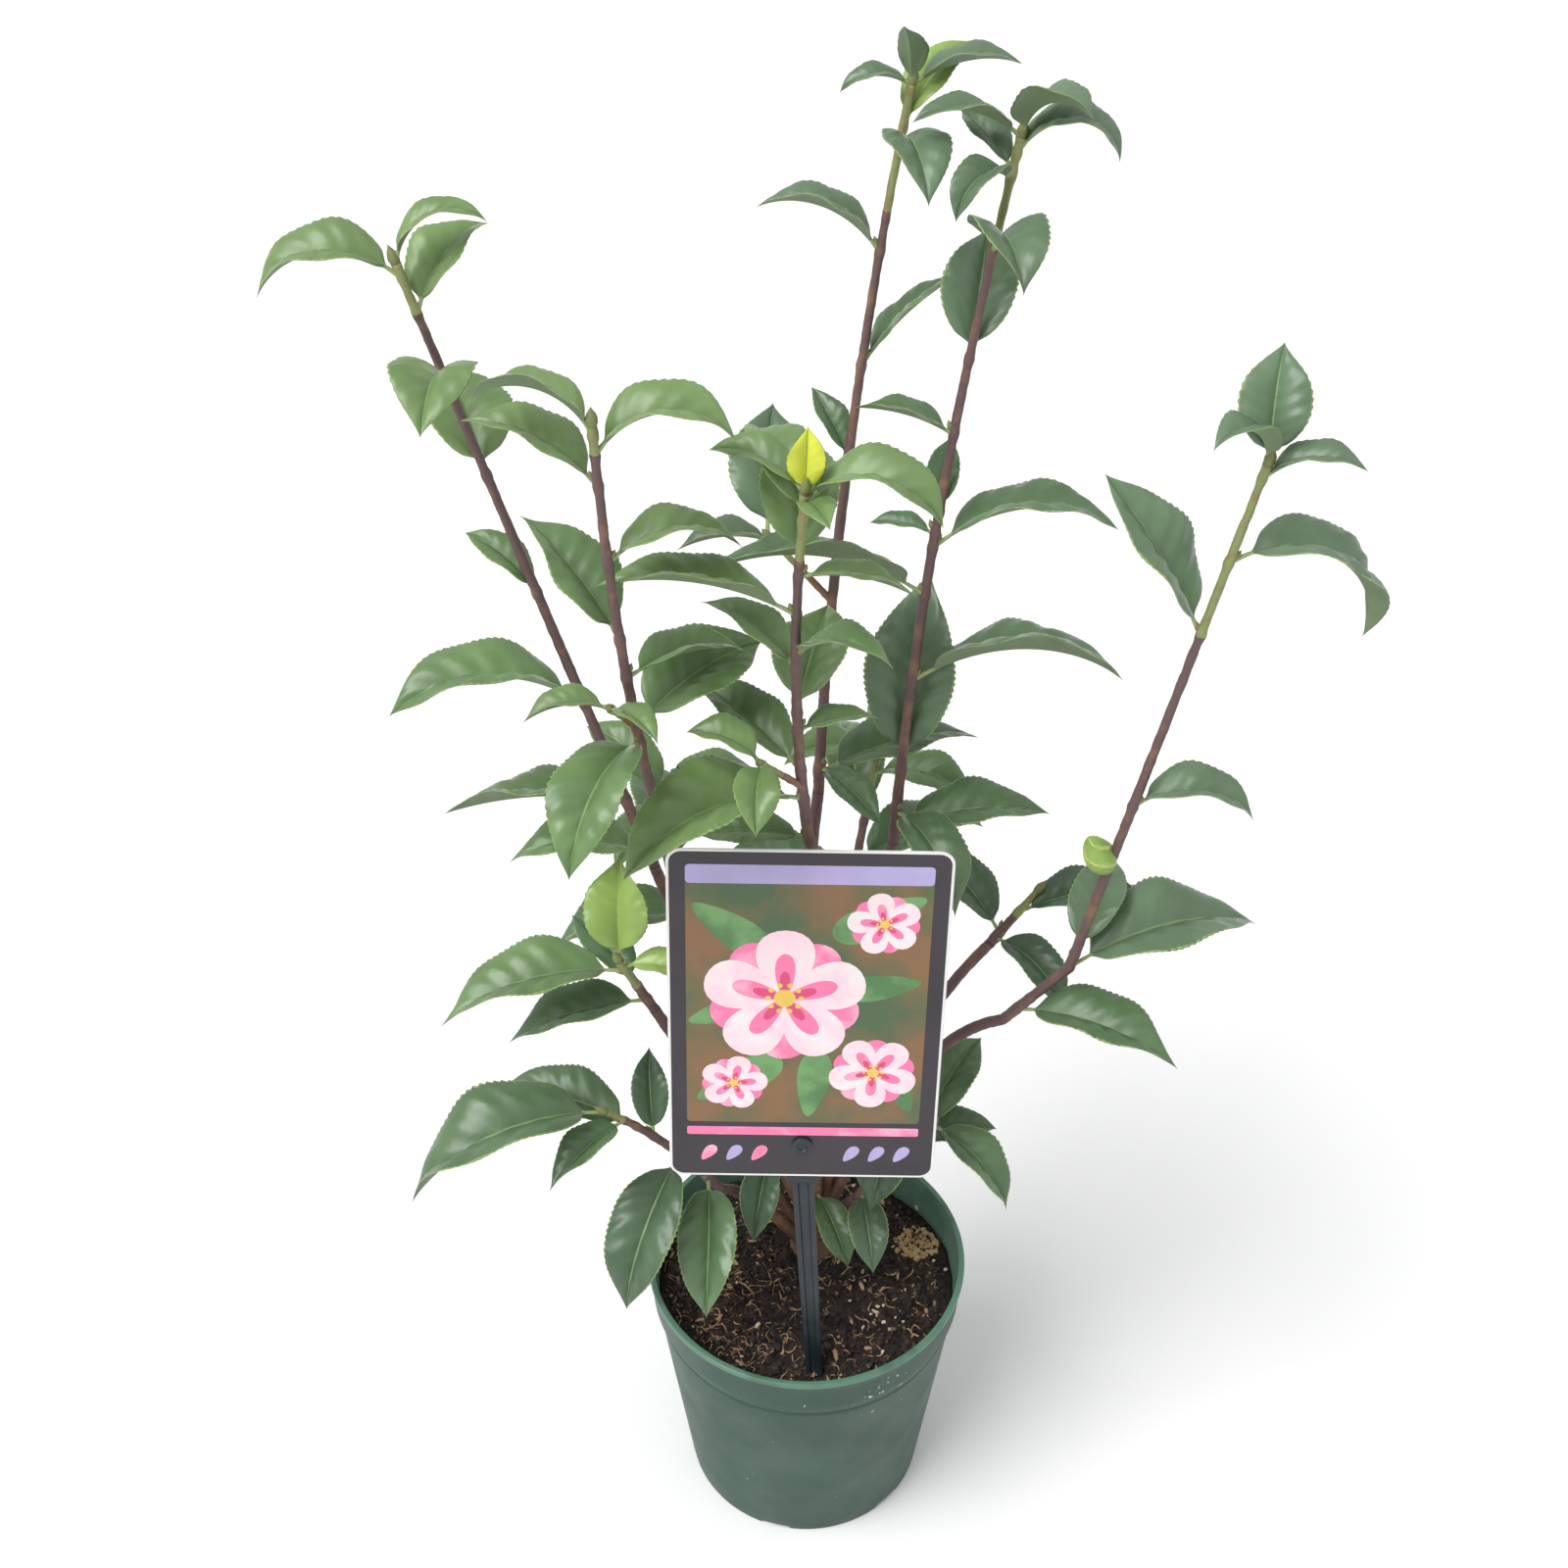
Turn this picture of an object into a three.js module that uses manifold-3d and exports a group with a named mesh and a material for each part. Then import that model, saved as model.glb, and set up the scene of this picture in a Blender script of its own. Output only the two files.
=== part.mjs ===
// A young camellia shrub in a nursery pot: short stem, boughs, masses of foliage, soil, pot and plant label.
// Millimetres, +Z up, -Y is the front. The origin is the middle of the pot's underside.

import * as THREE from "three";
import { mergeVertices } from "three/addons/utils/BufferGeometryUtils.js";
import Module from "manifold-3d";

const wasm = await Module();
wasm.setup();

// ---- driving dimensions -------------------------------------------------------------------------

const CLEAR = 0.3; // gap kept between neighbouring pieces

const POT_HEIGHT = 159;
const POT_RIM_RADIUS = 85;
const POT_BASE_RADIUS = 65;
const POT_WALL = 1.8;
const RIM_BAND = 23; // height of the stepped band under the lip
const RIM_STEP = 2.2; // how far the band stands out from the wall
const LIP_OUT = 1.5; // how far the lip stands out from the band
const LIP_HEIGHT = 3.5;
const LIP_ROUND = 0.8;
const FLOOR_RAISE = 4; // the floor lies this far above the ring it stands on
const FOOT_RING = 8; // radial width of the standing ring
const CENTRE_FOOT_RADIUS = 20;
const NOTCHES = 6; // drain notches through the standing ring
const NOTCH_WIDTH = 16;
const NOTCH_HEIGHT = 3;
const POT_SEGMENTS = 48;

const SOIL_TOP = 140;
const SOIL_SLACK = 0.4; // extra room at the sides, where the pot's facets cut inwards
const SOIL_SEGMENTS = 32;

const TRUNK_AT = [3, 22];
const TRUNK_TOP = 186;
const TRUNK_RADIUS = 9.5;
const TRUNK_FLARE = 2.5; // added to the radius where it enters the soil
const TRUNK_FLARE_HEIGHT = 12;
const TRUNK_CROWN = 4; // the top is rounded off over this height and width
const TRUNK_SIDES = 16;

const LIMB_SIDES = 6;
const BOUGH_RADII = [3.2, 2.7]; // at the trunk and at the bough's tip
const STEM_RADII = [2.6, 1.7];
const TWIG_RADII = [1.7, 1.3];
const TIP_BUD = 8; // length of the leaf bud that ends each stem

const LEAF_ASPECT = 0.46; // width over length
const PETIOLE = 0.11; // share of a leaf that is its stalk
const STALK_RADIUS = 1.0;
const LEAF_THICKNESS = 1.2; // at the midrib, over a hundredth of the longest leaf
const MIDRIB_STEPS = 24;
const LEAF_STATIONS = [0, 3, 7, 11, 15, 19, 22, 24]; // steps of the midrib that carry a section
const STALK_STATION = 3; // the stalk's round section goes on to this step
const LEAF_SWAY = 14; // most that a leaf's heading drifts from root to tip, degrees
const FOLD_RANGE = [16, 30]; // angle of each half of the blade above flat, degrees
const LEAF_SPACING = 4.5; // least distance between sample points of leaves on different masses
const SISTER_SPACING = 2.2; // and on the same mass
const LIMB_SPACING = 1.8; // least distance from a leaf to the skin of a limb
const POT_SPACING = 3; // and to the soil, the pot's rim or the edge of the label
const TURNS = [0, 8, -8, 16, -16, 24, -24, 34, -34]; // headings tried for a leaf that is in the way

const LABEL_AT = [-6, -64, SOIL_TOP]; // where the label's middle line meets the soil
const LABEL_LEAN = 6; // degrees, backwards
const LABEL_TURN = 1; // degrees, clockwise as seen from the front
const CARD_WIDTH = 127;
const CARD_BOTTOM = 138; // heights along the leaning label
const CARD_TOP = 327;
const CARD_CORNER = 7;
const CARD_THICKNESS = 1;
const PIN_FOOT_OFFSET = 12; // the pin's foot stands this far to the right of its head
const PIN_DEPTH = 35;
const PIN_WIDTHS = [8, 11]; // at the foot and at the head
const PIN_THICKNESS = 3;
const PIN_POINT = 4; // the point starts this far above the pin's depth and ends this far below
const PIN_HEAD = [12, 8]; // the head reaches this far below and above the stud
const KNOB_HEIGHT = 158; // of the stud that holds the card
const KNOB_RADIUS = 3;
const KNOB_HEAD_RADIUS = 5;
const KNOB_HEAD_THICKNESS = 1.5;

const BUD_AT = 0.34; // the flower bud's place along the stem of the far right mass
const BUD_HEADING = 190;
const BUD_RISE = 62;
const BUD_LENGTH = 23;
const BUD_RADIUS = 7.5;

// Each shoot is a bare bough and the leafy stem that grows on from it. A leaf is
// [at, heading, length, rise, droop, roll, aspect]: its place along the stem from 0 to 1, its
// compass heading (0 right, 90 back, 180 left, 270 front), its length, its angle above level at
// the root, how far it turns down by the tip, its roll about the midrib and its width over length.
const SHOOTS = {
  far_left: {
    bough: { from: [-4, 22, 174], to: [-72, 8, 424] },
    stem: { to: [-161, 25, 711] },
    leaves: [
      [0.98, 180, 66, 42, 105, -10],
      [1.0, 15, 48, 78, 125, 0, 0.34],
      [0.93, 55, 52, 60, 70, 0, 0.56],
      [0.83, 272, 60, 52, 105, 0, 0.6],
      [0.69, 115, 58, 52, 50, 0, 0.66],
      [0.5, 150, 42, 50, 50],
      [0.31, 185, 92, 40, 80, 10],
      [0.13, 183, 84, 12, 35, 15],
      [0.02, 192, 70, 40, 80],
    ],
  },
  left: {
    bough: { from: [-2, 16, 176], to: [-64, -16, 452], bow: [-6, 0, 0] },
    stem: { to: [-81, -58, 686], bow: [-4, 0, 0] },
    leaves: [
      [0.98, 172, 54, 65, 110, 10],
      [0.88, 160, 58, 45, 50, 0, 0.5],
      [0.94, 5, 62, 58, 115, 5],
      [0.72, 12, 58, 45, 90],
      [0.55, 140, 64, 50, 25, 0, 0.56],
      [0.34, 42, 72, 28, 40, 10, 0.55],
      [0.3, 245, 80, 25, 100, 10],
      [0.46, 40, 60, 10, 40, -10],
    ],
    twigs: [
      {
        at: 0.34,
        heading: 215,
        rise: 50,
        length: 18,
        leaves: [
          [1.0, 185, 38, 25, 60, 0, 0.5],
          [0.95, 310, 34, 30, 60],
        ],
      },
    ],
  },
  front: {
    bough: { from: [4, 15, 180], to: [0, -13, 450], bow: [4, 2, 0] },
    stem: { to: [-4, -48, 652], bow: [-5, 0, 0] },
    leaves: [
      [1.0, 155, 44, 45, 70],
      [1.0, 80, 26, 88, 10, 0, 0.6],
      [0.98, 350, 64, 50, 115],
      [0.97, 290, 32, 40, 60],
      [0.94, 115, 58, 66, 110],
      [0.83, 90, 58, 50, 30, 0, 0.6],
      [0.8, 350, 48, 15, 50, -10],
      [0.7, 178, 84, 35, 55, 12, 0.36],
      [0.55, 150, 50, 55, 60],
      [0.59, 320, 52, 55, 90],
      [0.43, 75, 58, 35, 30, 0, 0.62],
      [0.38, 10, 36, 20, 40],
      [0.17, 205, 98, 34, 84, 0, 0.48],
      [0.26, 140, 66, 30, 30],
      [0.04, 170, 52, 10, 30],
    ],
    twigs: [
      {
        at: 0.21,
        heading: 228,
        rise: 46,
        length: 38,
        leaves: [
          [1.0, 165, 36, 52, 75, 0, 0.6],
          [0.95, 260, 38, 15, 80, 0, 0.55],
        ],
      },
    ],
  },
  tall_back: {
    bough: { from: [5, 28, 180], to: [4, 36, 446], bow: [-6, 0, 0] },
    stem: { to: [39, 100, 754], bow: [-6, 0, 0] },
    leaves: [
      [1.0, 190, 32, 35, 85],
      [1.0, 260, 32, 80, 40],
      [1.0, 5, 48, 35, 60, -10],
      [0.95, 50, 48, 50, 40],
      [0.93, 280, 56, 35, 95, 0, 0.5],
      [0.79, 170, 60, 55, 85, 10],
      [0.64, 30, 60, 48, 30, -20],
      [0.51, 130, 36, 60, 30],
      [0.03, 20, 84, 20, 45],
      [0.04, 310, 44, 5, 40],
    ],
    twigs: [
      {
        at: 0.3,
        heading: 165,
        rise: 45,
        length: 42,
        leaves: [
          [1.0, 90, 62, 56, 30, 0, 0.6],
          [0.9, 200, 46, 30, 60],
        ],
      },
    ],
  },
  tall_right: {
    bough: { from: [10, 20, 174], to: [39, 22, 427], bow: [-2, 0, 6] },
    stem: { to: [81, 72, 743], bow: [-6, 0, 0] },
    leaves: [
      [1.0, 185, 48, 45, 75, 10],
      [1.0, 310, 46, 75, 110, 0, 0.6],
      [0.98, 5, 54, 60, 140],
      [0.95, 220, 42, 45, 130],
      [0.96, 130, 38, 40, 40],
      [0.86, 265, 60, 55, 110, 0, 0.58],
      [0.72, 75, 60, 50, 20, 0, 0.6],
      [0.62, 185, 45, 35, 40],
      [0.46, 12, 88, 38, 75, -15],
      [0.39, 190, 106, 42, 60, 25, 0.4],
      [0.48, 165, 30, 20, 40],
      [0.51, 80, 36, 60, 20],
      [0.26, 355, 104, 40, 85, -25],
      [0.12, 70, 92, 76, 15, 0, 0.48],
      [0.02, 5, 75, 25, 45],
      [0.05, 300, 66, 20, 100],
    ],
  },
  far_right: {
    bough: { from: [9, 20, 164], to: [94, -2, 335], bow: [0, 0, 34] },
    stem: { to: [169, -40, 660], bow: [18, 0, -6], knee: 0.14 },
    leaves: [
      [1.0, 85, 46, 70, 30, 0, 0.62],
      [1.0, 195, 44, 84, 125],
      [0.98, 345, 42, 50, 80],
      [0.86, 0, 86, 35, 140],
      [0.75, 160, 78, 62, 20, 0, 0.5],
      [0.46, 355, 60, 42, 100],
      [0.14, 15, 102, 30, 62, 0, 0.5],
      [0.03, 335, 84, 20, 50],
      [0.17, 60, 60, 35, 40],
    ],
  },
  right_back: {
    bough: { from: [9, 26, 172], to: [92, 50, 338], bow: [0, 0, 20] },
    stem: { to: [115, 64, 360] },
    leaves: [
      [0.6, 10, 64, 20, 35],
      [0.2, 130, 62, 40, 50],
      [0.1, 310, 56, 20, 80],
    ],
  },
  low_left: {
    bough: { from: [-4, 19, 158], to: [-74, -10, 350], bow: [-6, 0, 16] },
    stem: { to: [-88, -20, 390] },
    leaves: [
      [1.0, 95, 50, 72, 30, 0, 0.66],
      [0.8, 190, 92, 15, 50],
      [0.9, 330, 42, 20, 60],
      [0.2, 192, 70, 5, 40],
      [0.5, 130, 50, 30, 30],
    ],
  },
  low_left_front: {
    bough: { from: [-3, 16, 150], to: [-44, -14, 226], bow: [-4, 0, 12] },
    stem: { to: [-98, -30, 300], bow: [0, 0, 6] },
    leaves: [
      [1.0, 205, 112, 25, 85],
      [0.75, 165, 75, 22, 45],
      [0.85, 220, 52, 10, 50],
      [0.6, 100, 45, 60, 40],
      [0.38, 250, 88, 0, 85, 0, 0.42],
      [0.12, 290, 76, 5, 80, 0, 0.44],
    ],
  },
  low_right: {
    bough: { from: [8, 16, 154], to: [26, 8, 194], bow: [0, 0, 4] },
    stem: { to: [62, -8, 268] },
    leaves: [
      [1.0, 325, 60, 0, 70],
      [0.7, 20, 50, 30, 60],
      [0.08, 275, 48, 15, 80],
      [0.9, 90, 62, 50, 60],
    ],
  },
  back: {
    bough: { from: [4, 28, 168], to: [20, 82, 330], bow: [0, 8, 0] },
    stem: { to: [34, 96, 420] },
    leaves: [
      [1.0, 60, 60, 60, 80],
      [1.0, 200, 55, 50, 90],
      [0.9, 330, 60, 40, 80],
      [0.6, 100, 80, 40, 70],
      [0.3, 30, 84, 30, 70],
      [0.1, 150, 80, 30, 70],
    ],
  },
  back_left: {
    bough: { from: [-1, 28, 162], to: [-50, 74, 300], bow: [0, 4, 10] },
    stem: { to: [-72, 90, 400] },
    leaves: [
      [1.0, 150, 60, 60, 80],
      [1.0, 10, 55, 50, 90],
      [0.9, 250, 60, 40, 80],
      [0.6, 110, 80, 40, 70],
      [0.3, 200, 84, 30, 70],
      [0.1, 60, 80, 30, 70],
    ],
  },
};

// ---- solids -------------------------------------------------------------------------------------

const radians = THREE.MathUtils.degToRad;
const vector = (p) => new THREE.Vector3(...p);

const solid = (geometry) => {
  const bare = geometry.clone();
  bare.deleteAttribute("normal");
  bare.deleteAttribute("uv");
  const merged = mergeVertices(bare, 1e-4);
  return new wasm.Manifold(
    new wasm.Mesh({
      numProp: 3,
      vertProperties: new Float32Array(merged.attributes.position.array),
      triVerts: new Uint32Array(merged.index.array),
    }),
  );
};

const geometryOf = (manifold) => {
  const mesh = manifold.getMesh();
  const geometry = new THREE.BufferGeometry();
  geometry.setAttribute("position", new THREE.BufferAttribute(mesh.vertProperties, 3));
  geometry.setIndex(new THREE.BufferAttribute(mesh.triVerts, 1));
  geometry.computeVertexNormals();
  return geometry;
};

// A closed skin over rings of equally many points, each ring anticlockwise seen from the next.
// The ends are flat fans, and a ring whose points coincide closes to a tip.
const skin = (rings) => {
  const sides = rings[0].length;
  const positions = rings.flat().flatMap((p) => p.toArray());
  const index = [];
  for (let r = 0; r + 1 < rings.length; r++)
    for (let k = 0; k < sides; k++) {
      const a = r * sides + k;
      const b = r * sides + ((k + 1) % sides);
      index.push(a, b, b + sides, a, b + sides, a + sides);
    }
  const last = (rings.length - 1) * sides;
  for (let k = 1; k + 1 < sides; k++) index.push(0, k + 1, k, last, last + k, last + k + 1);
  const geometry = new THREE.BufferGeometry();
  geometry.setAttribute("position", new THREE.Float32BufferAttribute(positions, 3));
  geometry.setIndex(index);
  return solid(geometry);
};

// ---- the growth rule: limbs ---------------------------------------------------------------------

// A limb runs from one point to another. Its bow is how far it stands off the straight line:
// in the middle of an arc, or at its knee where it has one.
const limbPoint = (limb, t) => {
  const off = limb.knee ? Math.min(t / limb.knee, (1 - t) / (1 - limb.knee)) : 4 * t * (1 - t);
  const bow = limb.bow ?? [0, 0, 0];
  return new THREE.Vector3(
    ...limb.from.map((a, axis) => a + (limb.to[axis] - a) * t + bow[axis] * off),
  );
};

const limbDirection = (limb, t) => {
  const before = limbPoint(limb, Math.max(0, t - 0.01));
  return limbPoint(limb, Math.min(1, t + 0.01)).sub(before).normalize();
};

const ring = (centre, direction, radius) => {
  const side = new THREE.Vector3(0, 1, 0).cross(direction).normalize();
  const other = direction.clone().cross(side);
  return Array.from({ length: LIMB_SIDES }, (_, k) => {
    const angle = (2 * Math.PI * k) / LIMB_SIDES;
    return centre
      .clone()
      .addScaledVector(side, radius * Math.cos(angle))
      .addScaledVector(other, radius * Math.sin(angle));
  });
};

// The first ring lies across `across` and starts `gap` further on, so that two limbs end to end
// face each other squarely.
const limbSolid = (limb, radii, { steps = 8, grow = 0, gap = 0, across = null, bud = 0 } = {}) => {
  const stations = Array.from({ length: steps + 1 }, (_, i) => i / steps);
  if (limb.knee) stations.push(limb.knee);
  stations.sort((a, b) => a - b);
  const rings = stations.map((t) => {
    const radius = radii[0] + (radii[1] - radii[0]) * t + grow;
    const start = t === 0 && across;
    const direction = start ? across : limbDirection(limb, t);
    const centre = limbPoint(limb, t);
    if (start) centre.addScaledVector(across, gap);
    return ring(centre, direction, radius);
  });
  if (bud) {
    const direction = limbDirection(limb, 1);
    const tip = limbPoint(limb, 1);
    const along = (share) => tip.clone().addScaledVector(direction, bud * share);
    rings.push(ring(along(0.4), direction, radii[1] * 1.4), ring(along(1), direction, 0.3));
  }
  return skin(rings);
};

// ---- the growth rule: leaves --------------------------------------------------------------------

// A repeatable stream of numbers from 0 to 1.
const seeded = (seed) => {
  let state = seed;
  return () => {
    state = (state * 1103515245 + 12345) % 2147483648;
    return state / 2147483648;
  };
};

// Half the width of a blade at u from its base to its tip, as a share of its greatest half.
const bladeShape = (u) => Math.pow(Math.sin(Math.PI * Math.pow(u, 0.82)), 0.72 + u * u);

const halfWidth = (leaf, s) => {
  if (s < PETIOLE) return STALK_RADIUS;
  const u = Math.min(1, (s - PETIOLE) / (1 - PETIOLE));
  const half = Math.max(0, (leaf.width / 2) * bladeShape(u));
  return s < 1 ? Math.max(STALK_RADIUS, half) : half;
};

// The midrib leaves the stem at `rise` and turns down by `droop` on its way, drifting by `sway`.
const leafHeading = (leaf, s) => radians(leaf.heading + leaf.sway * s);
const leafPitch = (leaf, s) => radians(leaf.rise - leaf.droop * Math.pow(s, 1.15));

const leafMidrib = (leaf) => {
  const points = [vector(leaf.root)];
  for (let i = 0; i < MIDRIB_STEPS; i++) {
    const s = (i + 0.5) / MIDRIB_STEPS;
    const pitch = leafPitch(leaf, s);
    const heading = leafHeading(leaf, s);
    const step = new THREE.Vector3(
      Math.cos(pitch) * Math.cos(heading),
      Math.cos(pitch) * Math.sin(heading),
      Math.sin(pitch),
    );
    points.push(points[i].clone().addScaledVector(step, leaf.length / MIDRIB_STEPS));
  }
  return points;
};

// The blade's own axes at s: sideways to its left, and up out of its face.
const leafAxes = (leaf, s) => {
  const pitch = leafPitch(leaf, s);
  const heading = leafHeading(leaf, s);
  const level = new THREE.Vector3(-Math.sin(heading), Math.cos(heading), 0);
  const out = new THREE.Vector3(
    -Math.sin(pitch) * Math.cos(heading),
    -Math.sin(pitch) * Math.sin(heading),
    Math.cos(pitch),
  );
  const roll = radians(leaf.roll);
  return {
    side: level.clone().multiplyScalar(Math.cos(roll)).addScaledVector(out, Math.sin(roll)),
    up: out.clone().multiplyScalar(Math.cos(roll)).addScaledVector(level, -Math.sin(roll)),
  };
};

// A point of the blade at station i, `across` from -1 at its right edge to 1 at its left.
const bladePoint = (leaf, midrib, i, across) => {
  const s = i / MIDRIB_STEPS;
  const { side, up } = leafAxes(leaf, s);
  const half = halfWidth(leaf, s);
  const fold = radians(leaf.fold);
  return midrib[i]
    .clone()
    .addScaledVector(side, across * half * Math.cos(fold))
    .addScaledVector(up, Math.abs(across) * half * Math.sin(fold));
};

const leafSolid = (leaf) => {
  const midrib = leafMidrib(leaf);
  const rings = LEAF_STATIONS.map((i) => {
    const { up } = leafAxes(leaf, i / MIDRIB_STEPS);
    const half = i <= STALK_STATION ? STALK_RADIUS : LEAF_THICKNESS / 2;
    const thick = i === MIDRIB_STEPS ? 0 : half;
    return [
      midrib[i].clone().addScaledVector(up, thick),
      bladePoint(leaf, midrib, i, -1),
      midrib[i].clone().addScaledVector(up, -thick),
      bladePoint(leaf, midrib, i, 1),
    ];
  });
  return skin(rings);
};

// ---- the growth rule: keeping clear -------------------------------------------------------------

const SAMPLE_STATIONS = [4, 6, 8, 10, 12, 14, 16, 18, 20, 22, 24];
const SAMPLE_ACROSS = [-1, -0.67, -0.33, 0, 0.33, 0.67, 1];
const ROOT_SHARE = 0.34; // this much of a leaf may lie close to the limb that carries it
const LIMB_SAMPLES = 60;

const leafSamples = (leaf) => {
  const midrib = leafMidrib(leaf);
  return SAMPLE_STATIONS.flatMap((i) =>
    SAMPLE_ACROSS.map((across) => ({
      s: i / MIDRIB_STEPS,
      point: bladePoint(leaf, midrib, i, across),
    })),
  );
};

const limbSamples = (limb, radii, owner) =>
  Array.from({ length: LIMB_SAMPLES + 1 }, (_, i) => {
    const t = i / LIMB_SAMPLES;
    return { owner, point: limbPoint(limb, t), radius: radii[0] + (radii[1] - radii[0]) * t };
  });

// Whether a point lies in or close to the soil, the pot's wall or the label.
const inPotOrLabel = ({ x, y, z }) => {
  const fromAxis = Math.hypot(x, y);
  const fromRim = Math.abs(fromAxis - POT_RIM_RADIUS);
  if (z < SOIL_TOP + POT_SPACING && fromAxis < POT_RIM_RADIUS) return true;
  if (z < POT_HEIGHT + POT_SPACING && fromRim < 2 * POT_SPACING) return true;
  const lean = radians(LABEL_LEAN);
  const along = (y - LABEL_AT[1]) * Math.sin(lean) + (z - LABEL_AT[2]) * Math.cos(lean);
  const off = (y - LABEL_AT[1]) * Math.cos(lean) - (z - LABEL_AT[2]) * Math.sin(lean);
  const beside = Math.abs(x - LABEL_AT[0]);
  if (Math.abs(off) > 2 * POT_SPACING) return false;
  const byCard = along > CARD_BOTTOM - POT_SPACING && along < CARD_TOP + POT_SPACING;
  const byPin = along < CARD_TOP && beside < PIN_FOOT_OFFSET * 2;
  return byPin || (byCard && beside < CARD_WIDTH / 2 + POT_SPACING);
};

const spacing = (a, b) => (a.mass === b.mass ? SISTER_SPACING : LEAF_SPACING);

const inTheWay = (leaf, samples, limbs, kept) =>
  samples.some(
    ({ s, point }) =>
      inPotOrLabel(point) ||
      limbs.some(
        (limb) =>
          !(limb.owner === leaf.limb && s < ROOT_SHARE) &&
          point.distanceTo(limb.point) < limb.radius + LIMB_SPACING,
      ) ||
      kept.some(
        (other) =>
          !(other.leaf.limb === leaf.limb && s < ROOT_SHARE && other.s < ROOT_SHARE) &&
          point.distanceTo(other.point) < spacing(other.leaf, leaf),
      ),
  );

// Every limb of the shrub by name, then every leaf that finds room, the first listed first.
const grow = () => {
  const limbs = {};
  const wanted = [];
  for (const [name, shoot] of Object.entries(SHOOTS)) {
    const stem = { ...shoot.stem, from: shoot.bough.to };
    limbs[`bough_${name}`] = { ...shoot.bough, radii: BOUGH_RADII, mass: null };
    limbs[name] = { ...stem, radii: STEM_RADII, mass: name };
    wanted.push(...shoot.leaves.map((row) => ({ row, limb: name })));
    (shoot.twigs ?? []).forEach((twig, i) => {
      const from = limbPoint(stem, twig.at);
      const [heading, rise] = [radians(twig.heading), radians(twig.rise)];
      const way = new THREE.Vector3(
        Math.cos(rise) * Math.cos(heading),
        Math.cos(rise) * Math.sin(heading),
        Math.sin(rise),
      );
      const to = from.clone().addScaledVector(way, twig.length);
      const twigName = `${name}_twig_${i}`;
      limbs[twigName] = { from: from.toArray(), to: to.toArray(), radii: TWIG_RADII, mass: name };
      wanted.push(...twig.leaves.map((row) => ({ row, limb: twigName })));
    });
  }
  const samples = Object.entries(limbs).flatMap(([name, limb]) =>
    limbSamples(limb, limb.radii, name),
  );
  const random = seeded(17);
  const leaves = [];
  const kept = [];
  for (const { row, limb } of wanted) {
    const [at, heading, length, rise, droop, roll = 0, aspect = LEAF_ASPECT] = row;
    const sway = (random() * 2 - 1) * LEAF_SWAY;
    const fold = FOLD_RANGE[0] + random() * (FOLD_RANGE[1] - FOLD_RANGE[0]);
    const carrier = limbs[limb];
    const root = limbPoint(carrier, at).toArray();
    const size = { root, limb, mass: carrier.mass, length, width: length * aspect };
    for (const turn of TURNS) {
      const leaf = { ...size, heading: heading + turn, rise, droop, roll, sway, fold };
      const mine = leafSamples(leaf);
      if (inTheWay(leaf, mine, samples, kept)) continue;
      leaves.push(leaf);
      kept.push(...mine.map((sample) => ({ ...sample, leaf })));
      break;
    }
  }
  return { limbs, leaves };
};

// ---- pot and soil -------------------------------------------------------------------------------

const lathe = (profile, segments) =>
  solid(
    new THREE.LatheGeometry(
      profile.map(([r, z]) => new THREE.Vector2(r, z)),
      segments,
    ).rotateX(Math.PI / 2),
  );

const wallRadius = (z) => {
  const under = POT_RIM_RADIUS - RIM_STEP - LIP_OUT;
  return POT_BASE_RADIUS + ((under - POT_BASE_RADIUS) * z) / (POT_HEIGHT - RIM_BAND);
};

const pot = () => {
  const stepAt = POT_HEIGHT - RIM_BAND;
  const bandRadius = POT_RIM_RADIUS - LIP_OUT;
  const lipUnder = POT_HEIGHT - LIP_HEIGHT;
  const floorTop = FLOOR_RAISE + POT_WALL;
  const ringInside = POT_BASE_RADIUS - FOOT_RING;
  const shell = lathe(
    [
      [0, 0],
      [CENTRE_FOOT_RADIUS, 0],
      [CENTRE_FOOT_RADIUS + 2, FLOOR_RAISE],
      [ringInside - 2, FLOOR_RAISE],
      [ringInside, 0],
      [POT_BASE_RADIUS, 0],
      [wallRadius(stepAt), stepAt],
      [bandRadius - 1, stepAt + 1],
      [bandRadius, lipUnder],
      [POT_RIM_RADIUS, lipUnder + LIP_ROUND],
      [POT_RIM_RADIUS, POT_HEIGHT - LIP_ROUND],
      [POT_RIM_RADIUS - LIP_ROUND, POT_HEIGHT],
      [bandRadius - POT_WALL, POT_HEIGHT],
      [wallRadius(stepAt) - POT_WALL, stepAt],
      [wallRadius(floorTop) - POT_WALL, floorTop],
      [0, floorTop],
    ],
    POT_SEGMENTS,
  );
  const notch = new THREE.BoxGeometry(FOOT_RING * 3, NOTCH_WIDTH, NOTCH_HEIGHT * 2);
  notch.translate(POT_BASE_RADIUS, 0, 0);
  let cut = shell;
  for (let i = 0; i < NOTCHES; i++)
    cut = cut.subtract(solid(notch.clone().rotateZ((2 * Math.PI * (i + 0.25)) / NOTCHES)));
  return cut;
};

const soil = (pin) => {
  const bottom = FLOOR_RAISE + POT_WALL + CLEAR;
  const inside = (z) => wallRadius(z) - POT_WALL - CLEAR - SOIL_SLACK;
  const stepAt = POT_HEIGHT - RIM_BAND;
  const body = lathe(
    [
      [0, bottom],
      [inside(bottom), bottom],
      [inside(stepAt), stepAt],
      [inside(stepAt) * 0.97, SOIL_TOP - 1],
      [inside(stepAt) * 0.9, SOIL_TOP],
      [0, SOIL_TOP],
    ],
    SOIL_SEGMENTS,
  );
  return body.subtract(pin);
};

// ---- short stem ---------------------------------------------------------------------------------

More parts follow.
